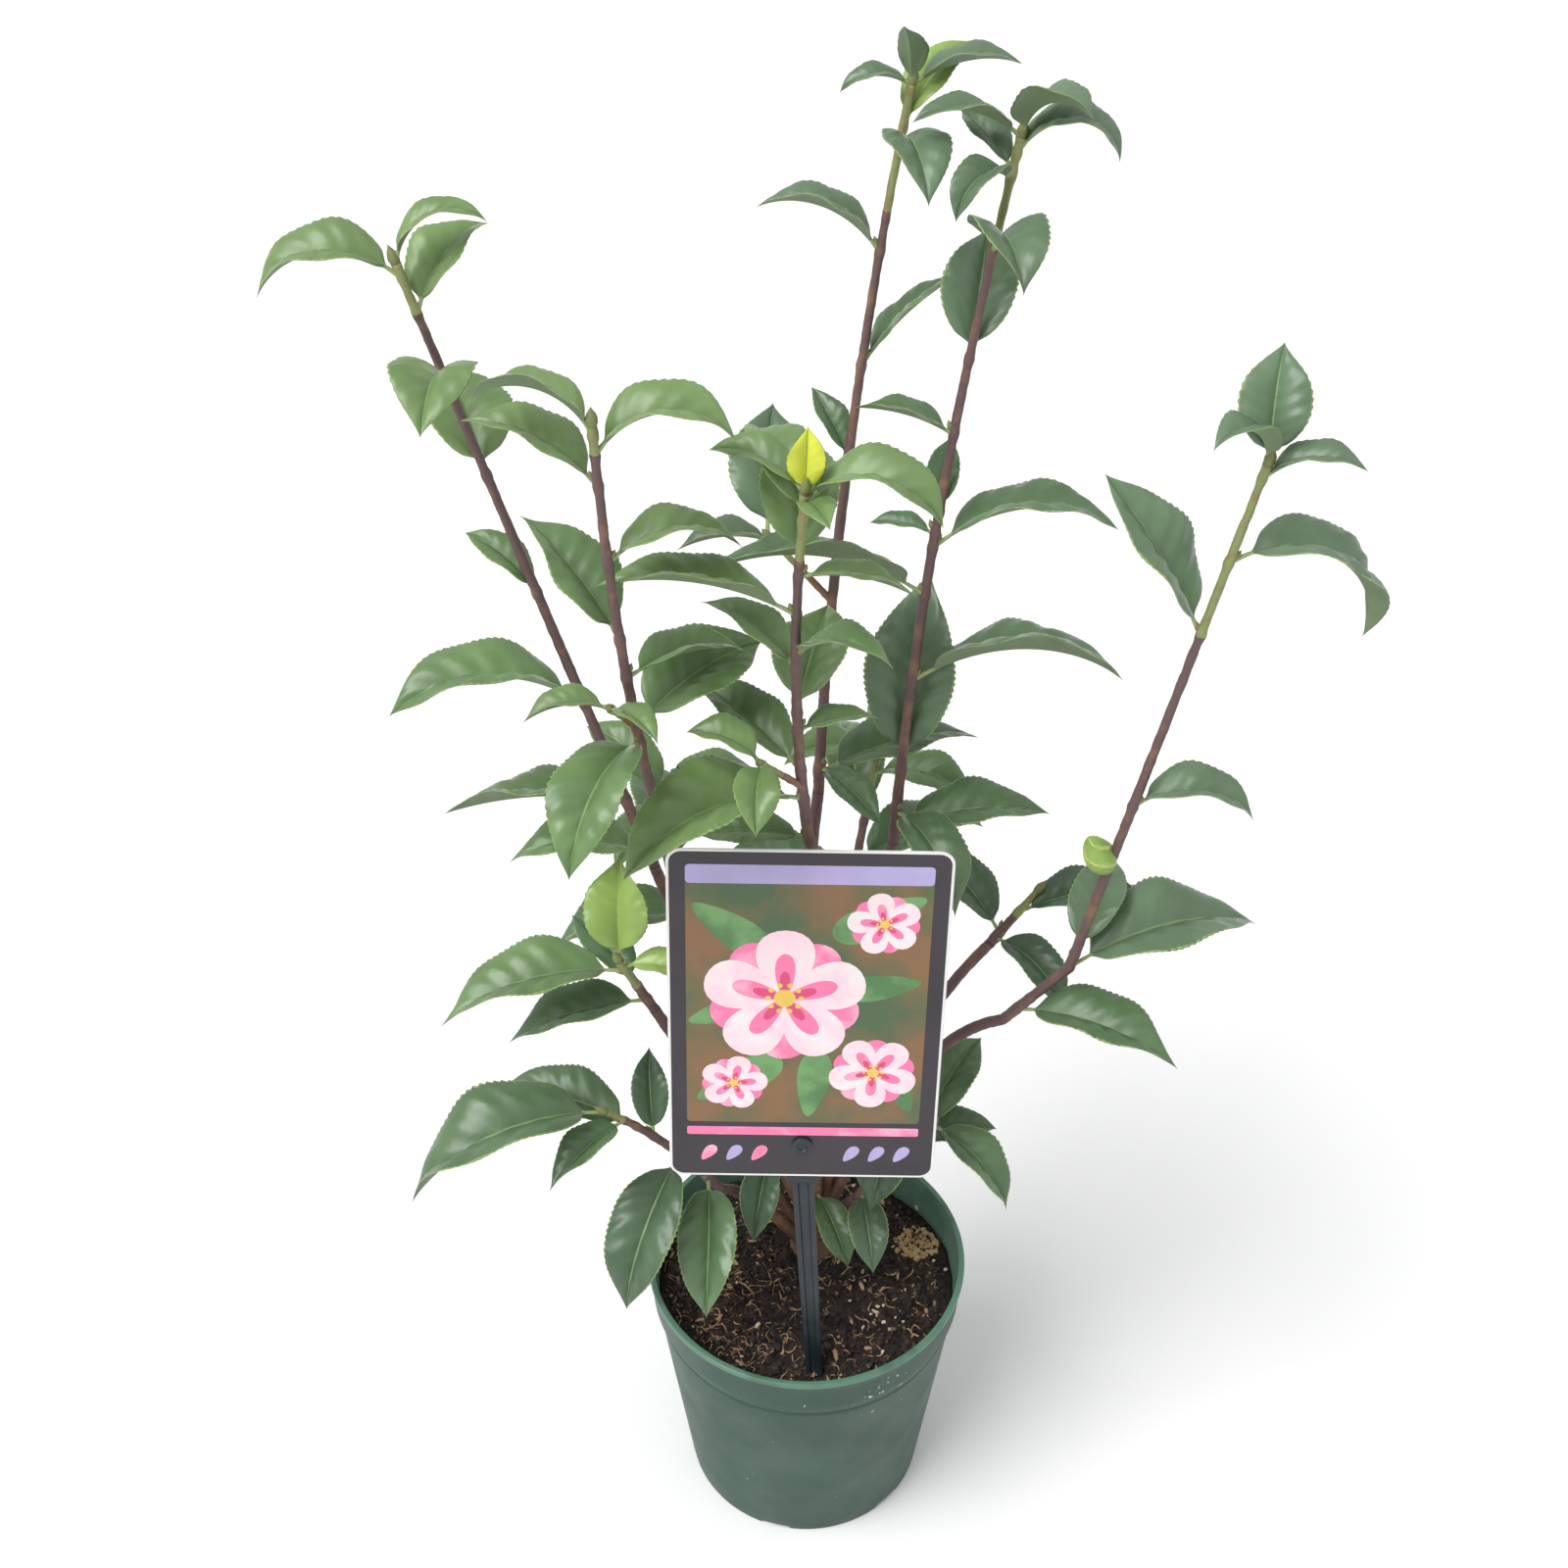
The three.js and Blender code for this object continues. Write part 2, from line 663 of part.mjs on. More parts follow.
const trunk = (grown = 0) => {
  const foot = SOIL_TOP + CLEAR - grown;
  return lathe(
    [
      [0, foot],
      [TRUNK_RADIUS + TRUNK_FLARE + grown, foot],
      [TRUNK_RADIUS + grown, SOIL_TOP + TRUNK_FLARE_HEIGHT],
      [TRUNK_RADIUS - 1 + grown, TRUNK_TOP - TRUNK_CROWN],
      [TRUNK_RADIUS - TRUNK_CROWN + grown, TRUNK_TOP + grown],
      [0, TRUNK_TOP + grown],
    ],
    TRUNK_SIDES,
  ).translate([...TRUNK_AT, 0]);
};

// ---- plant label --------------------------------------------------------------------------------

// Drawn upright in the XY plane, x to the right and y up, then stood up and leaned back.
const standLabel = (geometry) =>
  geometry
    .rotateX(Math.PI / 2)
    .rotateY(radians(LABEL_TURN))
    .rotateX(radians(-LABEL_LEAN))
    .translate(...LABEL_AT);

const labelCard = () => {
  const [left, right] = [-CARD_WIDTH / 2, CARD_WIDTH / 2];
  const outline = new THREE.Shape();
  outline.absarc(right - CARD_CORNER, CARD_TOP - CARD_CORNER, CARD_CORNER, 0, Math.PI / 2);
  outline.absarc(left + CARD_CORNER, CARD_TOP - CARD_CORNER, CARD_CORNER, Math.PI / 2, Math.PI);
  outline.absarc(left + CARD_CORNER, CARD_BOTTOM + CARD_CORNER, CARD_CORNER, Math.PI, 1.5 * Math.PI);
  outline.absarc(right - CARD_CORNER, CARD_BOTTOM + CARD_CORNER, CARD_CORNER, 1.5 * Math.PI, 2 * Math.PI);
  outline.closePath();
  const hole = new THREE.Path().absarc(0, KNOB_HEIGHT, KNOB_RADIUS + CLEAR, 0, 2 * Math.PI, true);
  outline.holes.push(hole);
  const card = new THREE.ExtrudeGeometry(outline, {
    depth: CARD_THICKNESS,
    bevelEnabled: false,
    curveSegments: 6,
  });
  return solid(standLabel(card));
};

// A flat stake behind the card, with a stud through the card's hole. It tapers to its point.
const labelPin = (grown = 0) => {
  const [footHalf, headHalf] = PIN_WIDTHS.map((w) => w / 2 + grown);
  const [headFoot, headTop] = [KNOB_HEIGHT - PIN_HEAD[0], KNOB_HEIGHT + PIN_HEAD[1]];
  const stake = new THREE.Shape([
    new THREE.Vector2(PIN_FOOT_OFFSET, -PIN_DEPTH - PIN_POINT - grown),
    new THREE.Vector2(PIN_FOOT_OFFSET + footHalf, -PIN_DEPTH + PIN_POINT),
    new THREE.Vector2(headHalf, headFoot),
    new THREE.Vector2(headHalf, headTop),
    new THREE.Vector2(-headHalf, headTop),
    new THREE.Vector2(-headHalf, headFoot),
    new THREE.Vector2(PIN_FOOT_OFFSET - footHalf, -PIN_DEPTH + PIN_POINT),
  ]);
  const depth = PIN_THICKNESS + 2 * grown;
  const blade = new THREE.ExtrudeGeometry(stake, { depth, bevelEnabled: false });
  blade.translate(0, 0, -PIN_THICKNESS - CLEAR - grown);
  const shaft = new THREE.CylinderGeometry(KNOB_RADIUS, KNOB_RADIUS, CARD_THICKNESS + 3, 16);
  shaft.rotateX(Math.PI / 2).translate(0, KNOB_HEIGHT, CARD_THICKNESS / 2);
  const head = new THREE.CylinderGeometry(KNOB_HEAD_RADIUS, KNOB_HEAD_RADIUS, KNOB_HEAD_THICKNESS, 16);
  head.rotateX(-Math.PI / 2);
  head.translate(0, KNOB_HEIGHT, CARD_THICKNESS + CLEAR + KNOB_HEAD_THICKNESS / 2);
  return [blade, shaft, head].map((g) => solid(standLabel(g))).reduce((a, b) => a.add(b));
};

// ---- masses of foliage --------------------------------------------------------------------------

const flowerBud = (limb) => {
  const [heading, rise] = [radians(BUD_HEADING), radians(BUD_RISE)];
  const way = new THREE.Vector3(
    Math.cos(rise) * Math.cos(heading),
    Math.cos(rise) * Math.sin(heading),
    Math.sin(rise),
  );
  const upright = new THREE.Vector3(0, 0, 1);
  const centre = limbPoint(limb, BUD_AT).addScaledVector(way, BUD_LENGTH / 2);
  const sphere = new THREE.SphereGeometry(1, 10, 8).rotateX(Math.PI / 2);
  sphere.scale(BUD_RADIUS, BUD_RADIUS, BUD_LENGTH / 2);
  sphere.applyQuaternion(new THREE.Quaternion().setFromUnitVectors(upright, way));
  return solid(sphere.translate(...centre));
};

const foliage = (name, { limbs, leaves }) => {
  const bough = limbs[`bough_${name}`];
  const across = limbDirection(bough, 1);
  const stem = limbSolid(limbs[name], STEM_RADII, { gap: CLEAR, across, bud: TIP_BUD });
  const twigs = Object.entries(limbs)
    .filter(([other, limb]) => limb.mass === name && other !== name)
    .map(([, limb]) => limbSolid(limb, TWIG_RADII, { steps: 2, bud: TIP_BUD / 2 }));
  const blades = leaves.filter((leaf) => leaf.mass === name).map(leafSolid);
  const extras = name === "far_right" ? [flowerBud(limbs[name])] : [];
  return [stem, ...twigs, ...extras, ...blades].reduce((a, b) => a.add(b));
};

// ---- assembly -----------------------------------------------------------------------------------

const COLOURS = {
  pot: [0x4f7f66, 0.5],
  soil: [0x33241a, 1],
  card: [0x3a3438, 0.35],
  pin: [0x2f3a3f, 0.5],
  bark: [0x6b4a3e, 0.8],
  leaf: [0x3f6b3c, 0.45],
};

const shrub = new THREE.Group();

const place = (name, manifold, [colour, roughness]) => {
  const material = new THREE.MeshStandardMaterial({ color: colour, roughness, metalness: 0 });
  const mesh = new THREE.Mesh(geometryOf(manifold), material);
  mesh.name = name;
  shrub.add(mesh);
};

place("pot", pot(), COLOURS.pot);
place("soil", soil(labelPin(CLEAR)), COLOURS.soil);
place("label_card", labelCard(), COLOURS.card);
place("label_pin", labelPin(), COLOURS.pin);
place("short_stem", trunk(), COLOURS.bark);

const grown = grow();
let taken = trunk(CLEAR);
for (const name of Object.keys(SHOOTS)) {
  const bough = grown.limbs[`bough_${name}`];
  place(`bough_${name}`, limbSolid(bough, BOUGH_RADII).subtract(taken), COLOURS.bark);
  taken = taken.add(limbSolid(bough, BOUGH_RADII, { grow: CLEAR }));
}
for (const name of Object.keys(SHOOTS)) place(`foliage_${name}`, foliage(name, grown), COLOURS.leaf);

export default shrub;
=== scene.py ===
"""Looks of a potted camellia shrub, laid out as an add-on with one operator for each group of pieces.

Lengths in the growth rule are millimetres, as on the solids; put_mesh turns them into metres.
"""

import functools

import bpy
import numpy as np
from bpy.props import FloatProperty, FloatVectorProperty, IntProperty, PointerProperty
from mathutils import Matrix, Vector


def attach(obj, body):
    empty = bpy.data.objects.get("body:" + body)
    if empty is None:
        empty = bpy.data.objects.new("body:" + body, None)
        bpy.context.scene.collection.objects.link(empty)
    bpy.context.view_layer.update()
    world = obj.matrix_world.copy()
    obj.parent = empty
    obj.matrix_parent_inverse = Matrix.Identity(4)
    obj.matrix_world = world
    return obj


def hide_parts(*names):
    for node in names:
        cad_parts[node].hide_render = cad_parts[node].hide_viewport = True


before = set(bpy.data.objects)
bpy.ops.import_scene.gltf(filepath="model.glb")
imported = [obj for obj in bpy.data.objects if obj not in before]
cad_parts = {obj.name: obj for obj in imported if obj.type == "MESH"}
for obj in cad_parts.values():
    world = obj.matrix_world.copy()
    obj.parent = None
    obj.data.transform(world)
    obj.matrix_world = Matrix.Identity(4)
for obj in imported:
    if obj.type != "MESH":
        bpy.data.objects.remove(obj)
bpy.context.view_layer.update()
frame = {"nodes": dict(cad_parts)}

bl_info = {
    "name": "Potted Camellia Shrub",
    "version": (1, 0, 0),
    "blender": (4, 5, 0),
    "location": "3D View > Sidebar > Camellia",
    "description": "Leaves, bark, buds, pot, soil and label of a young camellia",
    "category": "Object",
}

MM = 0.001

# ---- sizes shared with the solids ---------------------------------------------------------------

POT_HEIGHT = 159
POT_RIM_RADIUS = 85
POT_BASE_RADIUS = 65
POT_WALL = 1.8
RIM_BAND = 23
RIM_STEP = 2.2
LIP_OUT = 1.5
LIP_HEIGHT = 3.5
FLOOR_RAISE = 4
FOOT_RING = 8
CENTRE_FOOT_RADIUS = 20
NOTCHES = 6
NOTCH_WIDTH = 16
NOTCH_HEIGHT = 3
SOIL_TOP = 140
TRUNK_AT = (3, 22)
TRUNK_TOP = 186
TRUNK_RADIUS = 9.5
TRUNK_FLARE = 2.5
TRUNK_FLARE_HEIGHT = 12
TRUNK_CROWN = 4
BOUGH_RADII = (3.2, 2.7)
STEM_RADII = (2.6, 1.7)
TWIG_RADII = (1.7, 1.3)
TIP_BUD = 8
LEAF_ASPECT = 0.46
PETIOLE = 0.11
STALK_RADIUS = 1.0
MIDRIB_STEPS = 24
LEAF_SWAY = 14
FOLD_RANGE = (16, 30)
LEAF_SPACING = 4.5
SISTER_SPACING = 2.2
LIMB_SPACING = 1.8
POT_SPACING = 3
TURNS = (0, 8, -8, 16, -16, 24, -24, 34, -34)
SAMPLE_STATIONS = np.arange(4, 25, 2)
SAMPLE_ACROSS = np.array([-1, -0.67, -0.33, 0, 0.33, 0.67, 1])
ROOT_SHARE = 0.34
LIMB_SAMPLES = 60
GROWTH_SEED = 17
LABEL_AT = (-6, -64, SOIL_TOP)
LABEL_LEAN = 6
LABEL_TURN = 1
CARD_WIDTH = 127
CARD_BOTTOM = 138
CARD_TOP = 327
CARD_CORNER = 7
CARD_THICKNESS = 1
PIN_FOOT_OFFSET = 12
PIN_DEPTH = 35
PIN_WIDTHS = (8, 11)
PIN_THICKNESS = 3
KNOB_HEIGHT = 158
KNOB_HEAD_RADIUS = 5
BUD_AT = 0.34
BUD_HEADING = 190
BUD_RISE = 62
BUD_LENGTH = 23
BUD_RADIUS = 7.5

# Each shoot is a bough and the leafy stem that grows on from it. A leaf is its place along the stem,
# heading, length, rise and droop, then roll and width over length where they aren't 0 and the usual.
SHOOTS = {
    "far_left": {
        "bough": {"from": (-4, 22, 174), "to": (-72, 8, 424)},
        "stem": {"to": (-161, 25, 711)},
        "leaves": [
            (0.98, 180, 66, 42, 105, -10), (1, 15, 48, 78, 125, 0, 0.34),
            (0.93, 55, 52, 60, 70, 0, 0.56), (0.83, 272, 60, 52, 105, 0, 0.6),
            (0.69, 115, 58, 52, 50, 0, 0.66), (0.5, 150, 42, 50, 50), (0.31, 185, 92, 40, 80, 10),
            (0.13, 183, 84, 12, 35, 15), (0.02, 192, 70, 40, 80),
        ],
    },
    "left": {
        "bough": {"from": (-2, 16, 176), "to": (-64, -16, 452), "bow": (-6, 0, 0)},
        "stem": {"to": (-81, -58, 686), "bow": (-4, 0, 0)},
        "leaves": [
            (0.98, 172, 54, 65, 110, 10), (0.88, 160, 58, 45, 50, 0, 0.5),
            (0.94, 5, 62, 58, 115, 5), (0.72, 12, 58, 45, 90), (0.55, 140, 64, 50, 25, 0, 0.56),
            (0.34, 42, 72, 28, 40, 10, 0.55), (0.3, 245, 80, 25, 100, 10),
            (0.46, 40, 60, 10, 40, -10),
        ],
        "twigs": [
            {"at": 0.34, "heading": 215, "rise": 50, "length": 18, "leaves": [
                (1, 185, 38, 25, 60, 0, 0.5), (0.95, 310, 34, 30, 60),
            ]},
        ],
    },
    "front": {
        "bough": {"from": (4, 15, 180), "to": (0, -13, 450), "bow": (4, 2, 0)},
        "stem": {"to": (-4, -48, 652), "bow": (-5, 0, 0)},
        "leaves": [
            (1, 155, 44, 45, 70), (1, 80, 26, 88, 10, 0, 0.6), (0.98, 350, 64, 50, 115),
            (0.97, 290, 32, 40, 60), (0.94, 115, 58, 66, 110), (0.83, 90, 58, 50, 30, 0, 0.6),
            (0.8, 350, 48, 15, 50, -10), (0.7, 178, 84, 35, 55, 12, 0.36), (0.55, 150, 50, 55, 60),
            (0.59, 320, 52, 55, 90), (0.43, 75, 58, 35, 30, 0, 0.62), (0.38, 10, 36, 20, 40),
            (0.17, 205, 98, 34, 84, 0, 0.48), (0.26, 140, 66, 30, 30), (0.04, 170, 52, 10, 30),
        ],
        "twigs": [
            {"at": 0.21, "heading": 228, "rise": 46, "length": 38, "leaves": [
                (1, 165, 36, 52, 75, 0, 0.6), (0.95, 260, 38, 15, 80, 0, 0.55),
            ]},
        ],
    },
    "tall_back": {
        "bough": {"from": (5, 28, 180), "to": (4, 36, 446), "bow": (-6, 0, 0)},
        "stem": {"to": (39, 100, 754), "bow": (-6, 0, 0)},
        "leaves": [
            (1, 190, 32, 35, 85), (1, 260, 32, 80, 40), (1, 5, 48, 35, 60, -10),
            (0.95, 50, 48, 50, 40), (0.93, 280, 56, 35, 95, 0, 0.5), (0.79, 170, 60, 55, 85, 10),
            (0.64, 30, 60, 48, 30, -20), (0.51, 130, 36, 60, 30), (0.03, 20, 84, 20, 45),
            (0.04, 310, 44, 5, 40),
        ],
        "twigs": [
            {"at": 0.3, "heading": 165, "rise": 45, "length": 42, "leaves": [
                (1, 90, 62, 56, 30, 0, 0.6), (0.9, 200, 46, 30, 60),
            ]},
        ],
    },
    "tall_right": {
        "bough": {"from": (10, 20, 174), "to": (39, 22, 427), "bow": (-2, 0, 6)},
        "stem": {"to": (81, 72, 743), "bow": (-6, 0, 0)},
        "leaves": [
            (1, 185, 48, 45, 75, 10), (1, 310, 46, 75, 110, 0, 0.6), (0.98, 5, 54, 60, 140),
            (0.95, 220, 42, 45, 130), (0.96, 130, 38, 40, 40), (0.86, 265, 60, 55, 110, 0, 0.58),
            (0.72, 75, 60, 50, 20, 0, 0.6), (0.62, 185, 45, 35, 40), (0.46, 12, 88, 38, 75, -15),
            (0.39, 190, 106, 42, 60, 25, 0.4), (0.48, 165, 30, 20, 40), (0.51, 80, 36, 60, 20),
            (0.26, 355, 104, 40, 85, -25), (0.12, 70, 92, 76, 15, 0, 0.48), (0.02, 5, 75, 25, 45),
            (0.05, 300, 66, 20, 100),
        ],
    },
    "far_right": {
        "bough": {"from": (9, 20, 164), "to": (94, -2, 335), "bow": (0, 0, 34)},
        "stem": {"to": (169, -40, 660), "bow": (18, 0, -6), "knee": 0.14},
        "leaves": [
            (1, 85, 46, 70, 30, 0, 0.62), (1, 195, 44, 84, 125), (0.98, 345, 42, 50, 80),
            (0.86, 0, 86, 35, 140), (0.75, 160, 78, 62, 20, 0, 0.5), (0.46, 355, 60, 42, 100),
            (0.14, 15, 102, 30, 62, 0, 0.5), (0.03, 335, 84, 20, 50), (0.17, 60, 60, 35, 40),
        ],
    },
    "right_back": {
        "bough": {"from": (9, 26, 172), "to": (92, 50, 338), "bow": (0, 0, 20)},
        "stem": {"to": (115, 64, 360)},
        "leaves": [
            (0.6, 10, 64, 20, 35), (0.2, 130, 62, 40, 50), (0.1, 310, 56, 20, 80),
        ],
    },
    "low_left": {
        "bough": {"from": (-4, 19, 158), "to": (-74, -10, 350), "bow": (-6, 0, 16)},
        "stem": {"to": (-88, -20, 390)},
        "leaves": [
            (1, 95, 50, 72, 30, 0, 0.66), (0.8, 190, 92, 15, 50), (0.9, 330, 42, 20, 60),
            (0.2, 192, 70, 5, 40), (0.5, 130, 50, 30, 30),
        ],
    },
    "low_left_front": {
        "bough": {"from": (-3, 16, 150), "to": (-44, -14, 226), "bow": (-4, 0, 12)},
        "stem": {"to": (-98, -30, 300), "bow": (0, 0, 6)},
        "leaves": [
            (1, 205, 112, 25, 85), (0.75, 165, 75, 22, 45), (0.85, 220, 52, 10, 50),
            (0.6, 100, 45, 60, 40), (0.38, 250, 88, 0, 85, 0, 0.42),
            (0.12, 290, 76, 5, 80, 0, 0.44),
        ],
    },
    "low_right": {
        "bough": {"from": (8, 16, 154), "to": (26, 8, 194), "bow": (0, 0, 4)},
        "stem": {"to": (62, -8, 268)},
        "leaves": [
            (1, 325, 60, 0, 70), (0.7, 20, 50, 30, 60), (0.08, 275, 48, 15, 80),
            (0.9, 90, 62, 50, 60),
        ],
    },
    "back": {
        "bough": {"from": (4, 28, 168), "to": (20, 82, 330), "bow": (0, 8, 0)},
        "stem": {"to": (34, 96, 420)},
        "leaves": [
            (1, 60, 60, 60, 80), (1, 200, 55, 50, 90), (0.9, 330, 60, 40, 80),
            (0.6, 100, 80, 40, 70), (0.3, 30, 84, 30, 70), (0.1, 150, 80, 30, 70),
        ],
    },
    "back_left": {
        "bough": {"from": (-1, 28, 162), "to": (-50, 74, 300), "bow": (0, 4, 10)},
        "stem": {"to": (-72, 90, 400)},
        "leaves": [
            (1, 150, 60, 60, 80), (1, 10, 55, 50, 90), (0.9, 250, 60, 40, 80),
            (0.6, 110, 80, 40, 70), (0.3, 200, 84, 30, 70), (0.1, 60, 80, 30, 70),
        ],
    },
}

# Leaves beyond those of the solids. They grow last, low on the boughs, and hang before the short stem.
LOW_LEAVES = {
    "bough_front": [(0.05, 298, 46, -8, 58)],
    "bough_left": [(0.2, 220, 50, -20, 36)],
    "bough_far_right": [(0.45, 260, 70, -60, 10)],
}

# Six blades lean some degrees away from what their finer surfaces would otherwise cut.
NUDGES = {
    ("tall_right", 13): {"rise": -8}, ("tall_right", 11): {"rise": -10}, ("tall_back", 7): {"rise": -6},
    ("front", 1): {"rise": -6}, ("low_left_front", 2): {"heading": 8}, ("far_right", 1): {"heading": 8},
}

# Leaf tones of each shoot: at its tip, and further down, then the share of the stem at which its
# bark turns green. The darker tones deep and shaded are painted shade on leaves low in the crown and
# towards the right and back, and cool is a painted greyish sky reflection on the right and tall
# shoots. A few leaves have a tone of their own.
TONES = ("deep", "shaded", "cool", "mid", "fresh", "young", "yellow")
SHOOT_TONES = {
    "far_left": ("fresh", "mid", 0.93),
    "left": ("fresh", "mid", 0.94),
    "front": ("fresh", "mid", 0.84),
    "tall_back": ("cool", "shaded", 0.84),
    "tall_right": ("cool", "shaded", 0.88),
    "far_right": ("cool", "cool", 0.75),
    "right_back": ("shaded", "deep", 0.5),
    "low_left": ("mid", "shaded", 0.5),
    "low_left_front": ("shaded", "deep", 0.85),
    "low_right": ("shaded", "deep", 0.8),
    "back": ("mid", "shaded", 0.8),
    "back_left": ("mid", "shaded", 0.8),
}
# Of these own tones, shaded and deep are painted shade and cool is a painted greyish sky reflection.
ODD_TONES = {
    ("front", 1): "yellow",
    ("tall_back", 3): "young",
    ("low_left", 0): "young",
    ("low_left", 2): "young",
    ("front_twig_0", 0): "fresh",
    ("front", 12): "fresh",
    ("tall_right", 13): "cool",
    ("low_left_front", 5): "shaded",
    ("far_right", 7): "shaded",
    ("bough_front", 0): "shaded",
    ("bough_left", 0): "deep",
    ("bough_far_right", 0): "deep",
}

# The pieces that the leaves are joined into.
LEAF_PIECES = {
    "leaves_left": ("far_left", "left", "low_left", "low_left_front"),
    "leaves_middle": ("front", "tall_back"),
    "leaves_right": ("tall_right", "far_right", "right_back", "low_right"),
    "leaves_back": ("back", "back_left"),
}


# ---- the growth rule ----------------------------------------------------------------------------


def unit(heading, rise):
    """Direction (cos r cos h, cos r sin h, sin r) of a heading h and a rise r in degrees."""
    h, r = np.radians(heading), np.radians(rise)
    return np.array([np.cos(r) * np.cos(h), np.cos(r) * np.sin(h), np.sin(r)])


def limb_point(limb, t):
    """Points at shares t of a limb: from + (to - from) t + bow off(t), where off is the arc
    4 t (1 - t), or two straight slopes that meet at the knee."""
    t = np.atleast_1d(np.asarray(t, float))[:, None]
    knee = limb.get("knee")
    off = np.minimum(t / knee, (1 - t) / (1 - knee)) if knee else 4 * t * (1 - t)
    start, end = np.array(limb["from"], float), np.array(limb["to"], float)
    return start + (end - start) * t + np.array(limb.get("bow", (0, 0, 0)), float) * off


def seeded(seed):
    """A repeatable stream from 0 to 1: state = (1103515245 state + 12345) mod 2^31."""
    state = seed
    while True:
        state = (state * 1103515245 + 12345) % 2147483648
        yield state / 2147483648


def blade_half(leaf, s):
    """Half the width at s: width / 2 times sin(pi u^0.82)^(0.72 + u^2), u from 0 at the blade's
    base to 1 at its tip, and never less than the stalk except at the tip."""
    u = np.clip((s - PETIOLE) / (1 - PETIOLE), 0, 1)
    shape = np.clip(np.sin(np.pi * u**0.82), 0, 1) ** (0.72 + u * u)
    half = leaf["width"] / 2 * shape
    return np.where(s < 1, np.maximum(STALK_RADIUS, half), half)


def leaf_angles(leaf, s):
    """Pitch = rise - droop s^1.15 and heading = heading + sway s, in radians."""
    pitch = leaf["rise"] - leaf["droop"] * s**1.15
    return np.radians(pitch), np.radians(leaf["heading"] + leaf["sway"] * s)


def midrib(leaf, steps):
    """The root, then the running sum of equal steps in the direction at each step's middle."""
    pitch, heading = leaf_angles(leaf, (np.arange(steps) + 0.5) / steps)
    level = np.cos(pitch)
    way = np.stack([level * np.cos(heading), level * np.sin(heading), np.sin(pitch)], -1)
    return np.vstack([leaf["root"], leaf["root"] + np.cumsum(way, 0) * leaf["length"] / steps])


def leaf_axes(leaf, s):
    """The blade's side and up: the level and outward vectors at s, turned by its roll."""
    pitch, heading = leaf_angles(leaf, s)
    zero = np.zeros_like(heading)
    level = np.stack([-np.sin(heading), np.cos(heading), zero], -1)
    lean = np.sin(pitch)
    out = np.stack([-lean * np.cos(heading), -lean * np.sin(heading), np.cos(pitch)], -1)
    roll = np.radians(leaf["roll"])
    return level * np.cos(roll) + out * np.sin(roll), out * np.cos(roll) - level * np.sin(roll)


def leaf_samples(leaf):
    """Points over the folded blade: midrib + side a h cos(fold) + up |a| h sin(fold)."""
    s = SAMPLE_STATIONS / MIDRIB_STEPS
    side, up = leaf_axes(leaf, s)
    half = blade_half(leaf, s)[:, None, None]
    across = SAMPLE_ACROSS[None, :, None]
    fold = np.radians(leaf["fold"])
    spine = midrib(leaf, MIDRIB_STEPS)[SAMPLE_STATIONS][:, None]
    flat = spine + side[:, None] * across * half * np.cos(fold)
    return (flat + up[:, None] * np.abs(across) * half * np.sin(fold)).reshape(-1, 3)


def in_pot_or_label(points):
    """Which points lie in or close to the soil, the pot's rim or the leaning label."""
    x, y, z = points.T
    from_axis = np.hypot(x, y)
    bad = (z < SOIL_TOP + POT_SPACING) & (from_axis < POT_RIM_RADIUS)
    near_rim = np.abs(from_axis - POT_RIM_RADIUS) < 2 * POT_SPACING
    bad |= (z < POT_HEIGHT + POT_SPACING) & near_rim
    lean = np.radians(LABEL_LEAN)
    dy, dz = y - LABEL_AT[1], z - LABEL_AT[2]
    along = dy * np.sin(lean) + dz * np.cos(lean)
    off = dy * np.cos(lean) - dz * np.sin(lean)
    beside = np.abs(x - LABEL_AT[0])
    by_card = (along > CARD_BOTTOM - POT_SPACING) & (along < CARD_TOP + POT_SPACING)
    by_card &= beside < CARD_WIDTH / 2 + POT_SPACING
    by_pin = (along < CARD_TOP) & (beside < PIN_FOOT_OFFSET * 2)
    return bad | ((np.abs(off) <= 2 * POT_SPACING) & (by_card | by_pin))


def distances(points, others):
    """Every distance from one set of points to another."""
    return np.linalg.norm(points[:, None] - others[None], axis=2)


